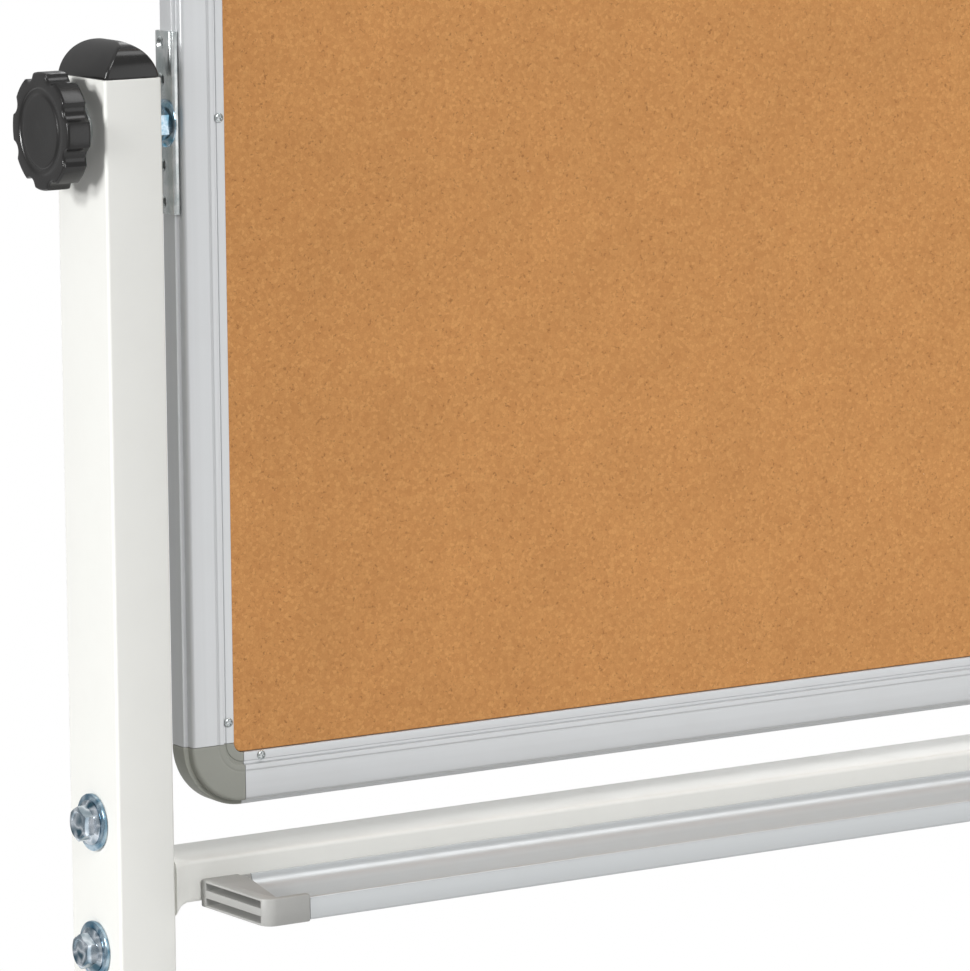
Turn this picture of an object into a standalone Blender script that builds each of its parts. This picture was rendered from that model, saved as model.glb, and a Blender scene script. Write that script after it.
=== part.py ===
"""Reversible cork and writing board, hung between the posts of a rolling stand.

Metres, +Z up. The origin is on the floor below the middle of the board, the cork side faces -Y and
+X is on the right of someone who looks at the cork. Each object is one separate piece of the board.
"""

import math

import bmesh
import bpy
from mathutils import Matrix

# Clearances shared by every piece
SEAT_GAP = 0.0003
RUNNING_GAP = 0.0003
OVERRUN = 0.004
MERGE_DISTANCE = 0.00001

# Board: overall size, and the frame's section
BOARD_WIDTH = 1.000
BOARD_HEIGHT = 0.704
FRAME_FRONT = 0.0085
FRAME_BACK = 0.0085
FRAME_FACE = 0.0279
FRAME_WALL = 0.0012
LEDGE_WIDTH = 0.0030
LEDGE_DROP = 0.0050
LIP_WIDTH = 0.0067
LIP_DROP = 0.0015
BEAD_WIDTH = 0.0042
BEAD_RISE = 0.0005
STEP_RADIUS = 0.0018
RIM_RADIUS = 0.0008
BACK_RADIUS = 0.0010
CORNER_RADIUS = 0.0330
SPIGOT_LENGTH = 0.016
SPIGOT_WIDTH = 0.010

# Sheets that the frame holds
CORK_THICKNESS = 0.0030
CORK_DROP = 0.0012
STEEL_THICKNESS = 0.0006
STEEL_DROP = 0.0012
CORE_BITE = 0.0073

# Posts and pivot
PIVOT_HEIGHT = 1.040
POST_GAP = 0.0184
POST_WIDTH = 0.0320
POST_DEPTH = 0.0515
POST_ABOVE_PIVOT = 0.0256
TUBE_WALL = 0.0015
TUBE_RADIUS = 0.0026
CAP_RISE = 0.0180
CAP_SLIMNESS = 1.46
CAP_FULLNESS = 3.4
CAP_PLUG_LENGTH = 0.014

# Crossbars with their welded end plates and nuts
BAR_DEPTH = 0.0398
BAR_HEIGHT = 0.0220
BAR_RADIUS = 0.0025
BOARD_TO_BAR = 0.0218
LOWER_BAR_HEIGHT = 0.190
PLATE_THICKNESS = 0.0030
PLATE_DEPTH = 0.0450
PLATE_HEIGHT = 0.0940
PLATE_RADIUS = 0.0100
PLATE_VENT_RADIUS = 0.0060
WELD_SIZE = 0.0045
WELD_NUT_RADIUS = 0.0092
WELD_NUT_HEIGHT = 0.0070

# Bolts with their washers, as turned and milled from one blank
BOLT_SPACING = 0.0660
BOLT_RADIUS = 0.0050
BOLT_HEAD_RADIUS = 0.0092
BOLT_HEAD_HEIGHT = 0.0075
BOLT_CHAMFER = 0.0014
BOLT_END_CHAMFER = 0.0010
BOLT_STICK_OUT = 0.0015
WASHER_RADIUS = 0.0147
WASHER_THICKNESS = 0.0022

# Feet
CASTER_HEIGHT = 0.068
FOOT_WIDTH = 0.050
FOOT_HEIGHT = 0.030
FOOT_LENGTH = 0.500
FOOT_CAP_THICKNESS = 0.0030
FOOT_CAP_PLUG = 0.014
STUB_WALL = 0.0020
STUB_ABOVE_BOLTS = 0.012

# Tray along the front of the upper crossbar
TRAY_WALL = 0.0014
TRAY_DEPTH = 0.0607
TRAY_FLANGE = 0.0160
TRAY_LIP_HEIGHT = 0.0119
TRAY_LIP_THICKNESS = 0.0018
TRAY_BEAD_RADIUS = 0.0012
TRAY_BACK_HEIGHT = 0.0130
TROUGH_FLAT = 0.0270
TRAY_END_GAP = 0.0203
TRAY_CAP_LENGTH = 0.0260
TRAY_CAP_PROUD = 0.0006
TRAY_CAP_RADIUS = 0.0070
TRAY_CAP_EDGE = 0.0012
CHAMBER_FLOOR = 0.0017
TONGUE_LENGTH = 0.012
TONGUE_ANGLE = math.radians(38)
SCOOP_LENGTH = 0.0090
SLOT_LENGTH = 0.0510
SLOT_HEIGHT = 0.0038
SLOT_DEPTH = 0.0150
SLOT_WALL = 0.0013
SLOT_END_WALL = 0.0052

# Brackets on the board's sides, and the pivots through the posts
BRACKET_THICKNESS = 0.0020
BRACKET_HEIGHT = 0.0920
BRACKET_FRONT_REACH = 0.0021
BRACKET_BACK_REACH = 0.0120
BRACKET_RADIUS = 0.0025
BRACKET_HOLE_RADIUS = 0.0021
BRACKET_HOLE_SETBACK = 0.0040
BRACKET_INNER_HOLES = 0.0215
BRACKET_OUTER_HOLES = 0.0400
PIVOT_NUT_RADIUS = 0.0098
PIVOT_NUT_HEIGHT = 0.0080
PIVOT_FLANGE_RADIUS = 0.0122
PIVOT_FLANGE_TOP = 0.0106
PIVOT_FLANGE_THICKNESS = 0.0020
SPACER_RADIUS = 0.0115

# Clamping knobs
KNOB_RADIUS = 0.0295
KNOB_OUTREACH = 0.0232
KNOB_GRIP_HEIGHT = 0.0132
KNOB_EDGE_RADIUS = 0.0015
KNOB_FACE_RADIUS = 0.0280
KNOB_GROOVE_RADIUS = 0.0198
KNOB_GROOVE_WIDTH = 0.0034
KNOB_GROOVE_DEPTH = 0.0009
KNOB_FACE_DISH = 0.0006
KNOB_HUB_RADIUS = 0.0125
KNOB_SKIRT = 0.0040
KNOB_HOLLOW = 0.0085
KNOB_CROWN = 0.0045
KNOB_FLUTES = 8
KNOB_FLUTE_RADIUS = 0.0060
KNOB_FLUTE_DEPTH = 0.0029
KNOB_WASHER_RADIUS = 0.0130
KNOB_WASHER_THICKNESS = 0.0020

# Swivel casters: wheel, fork, stem and brake
WHEEL_RADIUS = 0.025
WHEEL_WIDTH = 0.018
WHEEL_EDGE = 0.0030
WHEEL_DISH = 0.0025
WHEEL_HUB_RADIUS = 0.0075
CASTER_INSET = 0.035
CASTER_TRAIL = 0.020
AXLE_RADIUS = 0.0030
AXLE_HEAD_RADIUS = 0.0048
AXLE_HEAD_HEIGHT = 0.0018
FORK_THICKNESS = 0.0020
FORK_SIDE_GAP = 0.0010
FORK_CROWN_THICKNESS = 0.0025
FORK_CROWN_HEIGHT = 0.0525
FORK_FRONT_REACH = 0.0150
FORK_FRONT_DROP = 0.0090
FORK_BACK_REACH = 0.0390
FORK_BACK_DROP = 0.0080
FORK_EAR_RADIUS = 0.0080
FORK_EAR_ROUNDING = 0.0070
FORK_CORNER_RADIUS = 0.0035
STEM_RADIUS = 0.0050
STEM_LENGTH = 0.0140
STEM_COLLAR_RADIUS = 0.0090
STEM_COLLAR_HEIGHT = 0.0037
RACE_RADIUS = 0.0150
RACE_SHOULDER_RADIUS = 0.0120
RACE_EDGE_HEIGHT = 0.0035
RACE_SHOULDER_HEIGHT = 0.0035
KINGPIN_RADIUS = 0.0040
KINGPIN_HEAD_RADIUS = 0.0060
KINGPIN_HEAD_HEIGHT = 0.0027
PEDAL_PIN_REACH = 0.0340
PEDAL_PIN_HEIGHT = 0.0500
PEDAL_PIN_RADIUS = 0.0020
PEDAL_PIN_PROUD = 0.0010
PEDAL_BOSS_RADIUS = 0.0030
PEDAL_BOSS_ROUNDING = 0.0024
PEDAL_TIP_ROUNDING = 0.0011
PEDAL_LENGTH = 0.0250
PEDAL_RISE = 0.0040
PEDAL_THICKNESS = 0.0026
PEDAL_SIDE_GAP = 0.0010

# How finely round shapes are cut
FINE_SIDES = 24
ROUND_SIDES = 16
SMALL_SIDES = 12
FLUTE_SIDES = 16
CORNER_STEPS = 6
FILLET_STEPS = 3
TROUGH_STEPS = 7
ARCH_STEPS = 12

# Places worked out from the sizes
SIDES = (("left", -1), ("right", 1))
POST_INNER = BOARD_WIDTH / 2 + POST_GAP
POST_MIDDLE = POST_INNER + POST_WIDTH / 2
POST_OUTER = POST_INNER + POST_WIDTH
POST_TOP = PIVOT_HEIGHT + POST_ABOVE_PIVOT
FOOT_TOP = CASTER_HEIGHT + FOOT_HEIGHT
POST_BOTTOM = FOOT_TOP + SEAT_GAP
UPPER_BAR_HEIGHT = PIVOT_HEIGHT - BOARD_HEIGHT / 2 - BOARD_TO_BAR - BAR_HEIGHT / 2
BAR_END = POST_INNER - SEAT_GAP
HOLE_RADIUS = BOLT_RADIUS + RUNNING_GAP
CASTER_PLACE = FOOT_LENGTH / 2 - CASTER_INSET
FRONT_LIP = LIP_DROP - FRAME_FRONT
BACK_LIP = FRAME_BACK - LIP_DROP
CORK_FRONT = FRONT_LIP + CORK_DROP
CORK_BACK = CORK_FRONT + CORK_THICKNESS
CORE_FRONT = CORK_BACK + SEAT_GAP
STEEL_BACK = BACK_LIP - STEEL_DROP
STEEL_FRONT = STEEL_BACK - STEEL_THICKNESS
CORE_BACK = STEEL_FRONT - SEAT_GAP
FRONT_SEAT = CORE_FRONT - SEAT_GAP
BACK_SEAT = CORE_BACK + SEAT_GAP
THROAT = FRAME_FACE - CORE_BITE - SEAT_GAP
LEDGE_FACE = LEDGE_DROP - FRAME_FRONT
TRAY_REAR = -BAR_DEPTH / 2 - SEAT_GAP
TRAY_FRONT = TRAY_REAR - TRAY_DEPTH
TRAY_FLANGE_TOP = UPPER_BAR_HEIGHT - BAR_HEIGHT / 2 - SEAT_GAP
TRAY_BOTTOM = TRAY_FLANGE_TOP - TRAY_WALL
TRAY_END = POST_INNER - TRAY_END_GAP
WHEEL_CENTRE = WHEEL_RADIUS * math.cos(math.pi / FINE_SIDES)
FORK_TOP = FORK_CROWN_HEIGHT + FORK_CROWN_THICKNESS
FORK_WIDTH = WHEEL_WIDTH + 2 * (FORK_SIDE_GAP + FORK_THICKNESS)

# Turns from a flat outline's own axes to the direction in which it is extruded
ALONG_X = Matrix(((0, 0, 1), (1, 0, 0), (0, 1, 0))).to_4x4()
ALONG_Y = Matrix(((1, 0, 0), (0, 0, -1), (0, 1, 0))).to_4x4()
ALONG_Z = Matrix.Identity(4)


def clear_scene():
    """Start from an empty scene."""
    for item in list(bpy.data.objects):
        bpy.data.objects.remove(item, do_unlink=True)


def make_collection(name):
    """Make a collection and put it in the scene."""
    collection = bpy.data.collections.new(name)
    bpy.context.scene.collection.children.link(collection)
    return collection


clear_scene()
BOARD = make_collection("reversible_cork_whiteboard")
CUTTERS = make_collection("cutters")


def make_material(name, colour, roughness, metallic=0.0):
    """Make a plain Principled material."""
    material = bpy.data.materials.new(name)
    material.use_nodes = True
    shader = material.node_tree.nodes["Principled BSDF"]
    shader.inputs["Base Color"].default_value = (*colour, 1.0)
    shader.inputs["Roughness"].default_value = roughness
    shader.inputs["Metallic"].default_value = metallic
    material.diffuse_color = (*colour, 1.0)
    return material


MATERIALS = {
    "powder_coat": make_material("powder_coat", (0.79, 0.79, 0.76), 0.45),
    "aluminium": make_material("aluminium", (0.70, 0.72, 0.74), 0.38, 1.0),
    "grey_plastic": make_material("grey_plastic", (0.30, 0.30, 0.27), 0.5),
    "pale_grey_plastic": make_material("pale_grey_plastic", (0.45, 0.45, 0.43), 0.5),
    "black_plastic": make_material("black_plastic", (0.025, 0.025, 0.027), 0.4),
    "zinc": make_material("zinc", (0.62, 0.68, 0.72), 0.25, 1.0),
    "cork": make_material("cork", (0.52, 0.25, 0.09), 0.9),
    "fibreboard": make_material("fibreboard", (0.35, 0.24, 0.14), 0.9),
    "white_steel": make_material("white_steel", (0.85, 0.86, 0.86), 0.12),
    "grey_rubber": make_material("grey_rubber", (0.12, 0.12, 0.12), 0.8),
}


def make_object(name, mesh, material=None, collection=None):
    """Put a mesh in the scene as one named object."""
    item = bpy.data.objects.new(name, mesh)
    (collection or BOARD).objects.link(item)
    if material:
        mesh.materials.append(MATERIALS[material])
    return item


def make_empty(name, place):
    """Mark a joint's axis, which the moving pieces hang on."""
    empty = bpy.data.objects.new(name, None)
    BOARD.objects.link(empty)
    empty.location = place
    return empty


def hang_on(item, empty):
    """Parent an object to a joint's empty without moving it."""
    item.parent = empty
    item.matrix_parent_inverse = Matrix.Translation(-empty.location)


def evaluated_mesh(item):
    """Return a new mesh of an object with its modifiers worked out."""
    bpy.context.view_layer.update()
    depsgraph = bpy.context.evaluated_depsgraph_get()
    return bpy.data.meshes.new_from_object(item.evaluated_get(depsgraph))


def settle(item):
    """Replace an object's mesh and modifiers with the finished mesh, so that copies can share it."""
    mesh = evaluated_mesh(item)
    item.modifiers.clear()
    item.data = mesh
    mesh.shade_smooth()
    mesh.set_sharp_from_angle(angle=math.radians(35))


def place_copies(item, names, places):
    """Give a settled object its name and place, and copy it to the other places."""
    for index, (name, (location, rotation)) in enumerate(zip(names, places)):
        copy = item if index == 0 else item.copy()
        copy.name = name
        if index:
            BOARD.objects.link(copy)
        copy.location = location
        copy.rotation_euler = rotation


def combine(target, tool, operation):
    """Cut, join or intersect a piece with a tool that only guides the shape."""
    for collection in list(tool.users_collection):
        collection.objects.unlink(tool)
    CUTTERS.objects.link(tool)
    tool.hide_render = True
    tool.display_type = "WIRE"
    modifier = target.modifiers.new(operation.lower(), "BOOLEAN")
    modifier.operation = operation
    modifier.solver = "EXACT"
    modifier.object = tool


def cut(target, tool):
    """Take a tool's shape out of a piece."""
    combine(target, tool, "DIFFERENCE")


def join(target, tool):
    """Weld a tool's shape to a piece."""
    combine(target, tool, "UNION")


def rounded(corners, closed=True, steps=FILLET_STEPS):
    """Turn (x, y, radius) corners into points, with an arc at each corner that has a radius."""
    points = []
    count = len(corners)
    for index, (x, y, radius) in enumerate(corners):
        at_end = not closed and index in (0, count - 1)
        if radius <= 0 or at_end:
            points.append((x, y))
            continue
        before = corners[index - 1]
        after = corners[(index + 1) % count]
        back = math.atan2(before[1] - y, before[0] - x)
        ahead = math.atan2(after[1] - y, after[0] - x)
        opening = (ahead - back + math.pi) % math.tau - math.pi
        half = abs(opening) / 2
        reach = radius / math.tan(half)
        middle = back + opening / 2
        centre_x = x + math.cos(middle) * radius / math.sin(half)
        centre_y = y + math.sin(middle) * radius / math.sin(half)
        start = math.atan2(y + math.sin(back) * reach - centre_y, x + math.cos(back) * reach - centre_x)
        finish = math.atan2(y + math.sin(ahead) * reach - centre_y, x + math.cos(ahead) * reach - centre_x)
        sweep = (finish - start + math.pi) % math.tau - math.pi
        for step in range(steps + 1):
            angle = start + sweep * step / steps
            points.append((centre_x + radius * math.cos(angle), centre_y + radius * math.sin(angle)))
    return points


def rectangle(width, height, radius=0.0, centre=(0, 0), steps=FILLET_STEPS):
    """Return a rectangle's outline, with rounded corners."""
    left, right = centre[0] - width / 2, centre[0] + width / 2
    low, high = centre[1] - height / 2, centre[1] + height / 2
    corners = [(left, low, radius), (right, low, radius), (right, high, radius), (left, high, radius)]
    return rounded(corners, steps=steps)


def extrude(name, outlines, length, along, material=None, collection=None):
    """Extrude a flat outline about its own plane. Outlines after the first are holes through it."""
    curve = bpy.data.curves.new(name, "CURVE")
    curve.dimensions = "2D"
    curve.fill_mode = "BOTH"
    curve.extrude = length / 2
    for outline in outlines:
        spline = curve.splines.new("POLY")
        spline.points.add(len(outline) - 1)
        spline.use_cyclic_u = True
        for point, (x, y) in zip(spline.points, outline):
            point.co = (x, y, 0, 1)
    drawn = bpy.data.objects.new(name + "_outline", curve)
    CUTTERS.objects.link(drawn)
    mesh = evaluated_mesh(drawn)
    shape = bmesh.new()
    shape.from_mesh(mesh)
    bmesh.ops.remove_doubles(shape, verts=shape.verts, dist=MERGE_DISTANCE)
    shape.to_mesh(mesh)
    shape.free()
    mesh.name = name
    mesh.transform(along)
    item = make_object(name, mesh, material, collection)
    bpy.data.objects.remove(drawn)
    return item


def fold_sheet(name, path, thickness, length, along, material):
    """Draw a sheet along a path, extrude it and give it its thickness on the inner side."""
    area = sum(a[0] * b[1] - b[0] * a[1] for a, b in zip(path, path[1:] + path[:1]))
    if area < 0:
        path = path[::-1]
    shape = bmesh.new()
    low = [shape.verts.new((x, y, -length / 2)) for x, y in path]
    high = [shape.verts.new((x, y, length / 2)) for x, y in path]
    for index in range(len(path) - 1):
        shape.faces.new((low[index], low[index + 1], high[index + 1], high[index]))
    mesh = bpy.data.meshes.new(name)
    shape.to_mesh(mesh)
    shape.free()
    mesh.transform(along)
    item = make_object(name, mesh, material)
    shell = item.modifiers.new("wall", "SOLIDIFY")
    shell.thickness = thickness
    shell.offset = -1.0
    shell.use_even_offset = True
    return item


def turn_profile(name, profile, sides, material=None, closed=False, start_angle=0.0, collection=None):
    """Turn (radius, height) points about Z. The outer side is listed from the top down."""
    mesh = bpy.data.meshes.new(name)
    points = [(r * math.cos(start_angle), r * math.sin(start_angle), h) for r, h in profile]
    edges = list(zip(range(len(points) - 1), range(1, len(points))))
    if closed:
        edges.append((len(points) - 1, 0))
    mesh.from_pydata(points, edges, [])
    item = make_object(name, mesh, material, collection)
    lathe = item.modifiers.new("turn", "SCREW")
    lathe.axis = "Z"
    lathe.angle = math.tau
    lathe.steps = sides
    lathe.render_steps = sides
    lathe.use_merge_vertices = True
    lathe.merge_threshold = MERGE_DISTANCE
    return item


def make_cylinder(name, radius, length, sides, along, centre, material=None, collection=None):
    """Make a cylinder or a prism along an axis, about its centre."""
    shape = bmesh.new()
    bmesh.ops.create_cone(shape, cap_ends=True, segments=sides, radius1=radius, radius2=radius, depth=length)
    mesh = bpy.data.meshes.new(name)
    shape.to_mesh(mesh)
    shape.free()
    mesh.transform(Matrix.Translation(centre) @ along)
    return make_object(name, mesh, material, collection)


def make_box(name, low, high, material=None, collection=None):
    """Make a box between two corners."""
    shape = bmesh.new()
    bmesh.ops.create_cube(shape, size=1.0)
    size = [b - a for a, b in zip(low, high)]
    middle = [(a + b) / 2 for a, b in zip(low, high)]
    bmesh.ops.scale(shape, verts=shape.verts, vec=size)
    bmesh.ops.translate(shape, verts=shape.verts, vec=middle)
    mesh = bpy.data.meshes.new(name)
    shape.to_mesh(mesh)
    shape.free()
    return make_object(name, mesh, material, collection)


def bolt_heights(bar_height):
    """Return the heights of the two bolts that hold a crossbar's end plate."""
    return (bar_height + BOLT_SPACING / 2, bar_height - BOLT_SPACING / 2)


def make_post(word, side):
    """Rectangular tube, drilled for the pivot and for the crossbars' bolts."""
    outer = rectangle(POST_WIDTH, POST_DEPTH, TUBE_RADIUS)
    inner = rectangle(POST_WIDTH - 2 * TUBE_WALL, POST_DEPTH - 2 * TUBE_WALL, TUBE_RADIUS - TUBE_WALL)
    post = extrude(f"post_{word}", [outer, inner], POST_TOP - POST_BOTTOM, ALONG_Z, "powder_coat")
    post.location = (side * POST_MIDDLE, 0, (POST_TOP + POST_BOTTOM) / 2)
    holes = [PIVOT_HEIGHT, *bolt_heights(UPPER_BAR_HEIGHT), *bolt_heights(LOWER_BAR_HEIGHT)]
    for number, height in enumerate(holes):
        place = (side * POST_MIDDLE, 0, height)
        drill = make_cylinder(f"post_drill_{word}_{number}", HOLE_RADIUS, POST_WIDTH + 2 * OVERRUN,
                              SMALL_SIDES, ALONG_X, place)
        cut(post, drill)


def arch(half_width, rise, drop, fullness):
    """Return an arched outline on short straight sides: fullness 2 is half an ellipse, more is squarer."""
    points = [(half_width, -drop)]
    for step in range(ARCH_STEPS + 1):
        angle = math.pi * step / ARCH_STEPS
        across = math.copysign(abs(math.cos(angle)) ** (2 / fullness), math.cos(angle))
        points.append((half_width * across, rise * math.sin(angle) ** (2 / fullness)))
    points.append((-half_width, -drop))
    return points


def make_post_cap(word, side):
    """Domed plug: two crossed arches that meet in hips, on a block that fills the tube's end."""
    name = f"post_cap_{word}"
    base = POST_TOP + SEAT_GAP
    cap = extrude(name, [arch(POST_WIDTH / 2, CAP_RISE, 0, CAP_SLIMNESS)], POST_DEPTH, ALONG_Y,
                  "black_plastic")
    cross = extrude(name + "_cross", [arch(POST_DEPTH / 2, CAP_RISE, OVERRUN, CAP_FULLNESS)],
                    POST_WIDTH + 2 * OVERRUN, ALONG_X)
    cap.location = (side * POST_MIDDLE, 0, base)
    cross.location = cap.location
    combine(cap, cross, "INTERSECT")
    slack = 2 * (TUBE_WALL + SEAT_GAP)
    plug = make_box(name + "_plug",
                    (side * POST_MIDDLE - (POST_WIDTH - slack) / 2 + TUBE_RADIUS - TUBE_WALL,
                     -(POST_DEPTH - slack) / 2, base - CAP_PLUG_LENGTH),
                    (side * POST_MIDDLE + (POST_WIDTH - slack) / 2 - TUBE_RADIUS + TUBE_WALL,
                     (POST_DEPTH - slack) / 2, base + BEAD_RISE))
    join(cap, plug)


def make_crossbar(name, height):
    """Rectangular tube with an end plate welded to each end and nuts welded to the plates."""
    tube_half = BAR_END - PLATE_THICKNESS
    outer = rectangle(BAR_DEPTH, BAR_HEIGHT, BAR_RADIUS)
    inner = rectangle(BAR_DEPTH - 2 * TUBE_WALL, BAR_HEIGHT - 2 * TUBE_WALL, BAR_RADIUS - TUBE_WALL)
    bar = extrude(name, [outer, inner], 2 * tube_half, ALONG_X, "powder_coat")
    bar.location = (0, 0, height)
    vent = [(PLATE_VENT_RADIUS * math.cos(math.tau * step / SMALL_SIDES),
             PLATE_VENT_RADIUS * math.sin(math.tau * step / SMALL_SIDES)) for step in range(SMALL_SIDES)]
    for word, side in SIDES:
        plate = extrude(f"{name}_plate_{word}", [rectangle(PLATE_DEPTH, PLATE_HEIGHT, PLATE_RADIUS), vent],
                        PLATE_THICKNESS, ALONG_X)
        plate.location = (side * (BAR_END - PLATE_THICKNESS / 2), 0, height)
        for number, bolt_height in enumerate(bolt_heights(height)):
            nut = make_cylinder(f"{name}_nut_{word}_{number}", WELD_NUT_RADIUS,
                                WELD_NUT_HEIGHT + PLATE_THICKNESS / 2, 6, ALONG_X,
                                (side * (tube_half - (WELD_NUT_HEIGHT - PLATE_THICKNESS / 2) / 2), 0,
                                 bolt_height))
            join(bar, nut)
        seam = extrude(f"{name}_seam_{word}", [weld_section()], BAR_DEPTH - 2 * BAR_RADIUS, ALONG_Y)
        seam.location = (side * tube_half, 0, height - BAR_HEIGHT / 2)
        seam.scale = (side, 1, 1)
        flip_if_mirrored(seam)
        join(bar, plate)
        join(bar, seam)
    for word, side in SIDES:
        for number, bolt_height in enumerate(bolt_heights(height)):
            reach = PLATE_THICKNESS + WELD_NUT_HEIGHT + OVERRUN
            drill = make_cylinder(f"{name}_drill_{word}_{number}", HOLE_RADIUS, 2 * reach, SMALL_SIDES,
                                  ALONG_X, (side * BAR_END, 0, bolt_height))
            cut(bar, drill)


def weld_section():
    """Return the weld bead's section below the tube: a concave fillet between tube and plate."""
    bite = TUBE_WALL / 2
    points = [(bite, bite), (bite, -WELD_SIZE)]
    for step in range(FILLET_STEPS + 1):
        angle = math.pi / 2 * step / FILLET_STEPS
        points.append((-WELD_SIZE + WELD_SIZE * math.cos(angle), -WELD_SIZE + WELD_SIZE * math.sin(angle)))
    points.append((-WELD_SIZE, bite))
    return points


def flip_if_mirrored(item):
    """Apply an object's mirror scale to its mesh and turn the faces out again."""
    mirrored = item.scale.x * item.scale.y * item.scale.z < 0
    item.data.transform(Matrix.Diagonal((*item.scale, 1.0)))
    item.scale = (1, 1, 1)
    if mirrored:
        item.data.flip_normals()


def make_foot(word, side):
    """Foot tube with a welded stub that the post slides over, drilled for the caster stems."""
    name = f"foot_{word}"
    outer = rectangle(FOOT_WIDTH, FOOT_HEIGHT, TUBE_RADIUS)
    inner = rectangle(FOOT_WIDTH - 2 * TUBE_WALL, FOOT_HEIGHT - 2 * TUBE_WALL, TUBE_RADIUS - TUBE_WALL)
    foot = extrude(name, [outer, inner], FOOT_LENGTH, ALONG_Y, "powder_coat")
    foot.location = (side * POST_MIDDLE, 0, CASTER_HEIGHT + FOOT_HEIGHT / 2)
    slack = 2 * (TUBE_WALL + SEAT_GAP)
    width, depth = POST_WIDTH - slack, POST_DEPTH - slack
    stub_low = FOOT_TOP - TUBE_WALL / 2
    stub_high = bolt_heights(LOWER_BAR_HEIGHT)[0] + STUB_ABOVE_BOLTS
    wall = rectangle(width, depth, TUBE_RADIUS - TUBE_WALL)
    bore = rectangle(width - 2 * STUB_WALL, depth - 2 * STUB_WALL)
    stub = extrude(name + "_stub", [wall, bore], stub_high - stub_low, ALONG_Z)
    stub.location = (side * POST_MIDDLE, 0, (stub_high + stub_low) / 2)
    join(foot, stub)
    for number, height in enumerate(bolt_heights(LOWER_BAR_HEIGHT)):
        drill = make_cylinder(f"{name}_drill_{number}", HOLE_RADIUS, POST_WIDTH + 2 * OVERRUN, SMALL_SIDES,
                              ALONG_X, (side * POST_MIDDLE, 0, height))
        cut(foot, drill)
    for end in (-1, 1):
        drill = make_cylinder(f"{name}_stem_drill_{end}", STEM_RADIUS + RUNNING_GAP,
                              2 * (TUBE_WALL + OVERRUN), SMALL_SIDES, ALONG_Z,
                              (side * POST_MIDDLE, end * CASTER_PLACE, CASTER_HEIGHT))
        cut(foot, drill)


def make_foot_caps():
    """Plastic plugs that close the feet, each with a rounded plate outside and a block inside."""
    cap = extrude("foot_cap", [rectangle(FOOT_WIDTH, FOOT_HEIGHT, TUBE_RADIUS)], FOOT_CAP_THICKNESS,
                  ALONG_Y, "black_plastic")
    edge = cap.modifiers.new("edge", "BEVEL")
    edge.width = FOOT_CAP_THICKNESS / 3
    edge.segments = 1
    edge.limit_method = "ANGLE"
    slack = 2 * (TUBE_WALL + SEAT_GAP)
    half_width, half_height = (FOOT_WIDTH - slack) / 2, (FOOT_HEIGHT - slack) / 2
    inside = TUBE_RADIUS - TUBE_WALL
    plug = make_box("foot_cap_plug", (-half_width + inside, 0, -half_height + inside),
                    (half_width - inside, FOOT_CAP_THICKNESS / 2 + FOOT_CAP_PLUG, half_height - inside))
    join(cap, plug)
    settle(cap)
    names, places = [], []
    away = FOOT_LENGTH / 2 + SEAT_GAP + FOOT_CAP_THICKNESS / 2
    for word, side in SIDES:
        for end_word, end in (("front", -1), ("back", 1)):
            names.append(f"foot_cap_{end_word}_{word}")
            turn = 0 if end < 0 else math.pi
            places.append(((side * POST_MIDDLE, end * away, CASTER_HEIGHT + FOOT_HEIGHT / 2), (0, 0, turn)))
    place_copies(cap, names, places)


def make_hex_blank(name, radius, height, chamfer):
    """Hexagon prism whose outer corners are turned off, standing on zero."""
    blank = make_cylinder(name, radius, height, 6, ALONG_Z, (0, 0, height / 2), collection=CUTTERS)
    turned = turn_profile(name + "_turned", [(0, height), (radius - chamfer, height),
                                             (radius + OVERRUN, height - (chamfer + OVERRUN) / 2),
                                             (radius + OVERRUN, -OVERRUN), (0, -OVERRUN)],
                          SMALL_SIDES, start_angle=math.pi / SMALL_SIDES, collection=CUTTERS)
    combine(blank, turned, "INTERSECT")
    mesh = evaluated_mesh(blank)
    blank.modifiers.clear()
    blank.data = mesh
    return blank


def make_bar_bolts():
    """Hexagon bolts, each with its flat washer, that hold the crossbars to the posts."""
    length = POST_WIDTH + SEAT_GAP * 2 + PLATE_THICKNESS + WELD_NUT_HEIGHT + BOLT_STICK_OUT
    profile = [(0, WASHER_THICKNESS + BOLT_HEAD_HEIGHT / 2),
               (BOLT_RADIUS, WASHER_THICKNESS + BOLT_HEAD_HEIGHT / 2),
               (BOLT_RADIUS, WASHER_THICKNESS), (WASHER_RADIUS, WASHER_THICKNESS), (WASHER_RADIUS, 0),
               (BOLT_RADIUS, 0), (BOLT_RADIUS, BOLT_END_CHAMFER - length),
               (BOLT_RADIUS - BOLT_END_CHAMFER, -length), (0, -length)]
    bolt = turn_profile("bar_bolt", profile, ROUND_SIDES, "zinc")
    head = make_hex_blank("bar_bolt_head", BOLT_HEAD_RADIUS, BOLT_HEAD_HEIGHT, BOLT_CHAMFER)
    head.location = (0, 0, WASHER_THICKNESS)
    join(bolt, head)
    settle(bolt)
    names, places = [], []
    for bar_word, bar_height in (("upper", UPPER_BAR_HEIGHT), ("lower", LOWER_BAR_HEIGHT)):
        for word, side in SIDES:
            for row_word, height in zip(("top", "bottom"), bolt_heights(bar_height)):
                names.append(f"{bar_word}_bar_bolt_{row_word}_{word}")
                place = (side * (POST_OUTER + SEAT_GAP), 0, height)
                places.append((place, (0, side * math.pi / 2, 0)))
    place_copies(bolt, names, places)


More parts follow.
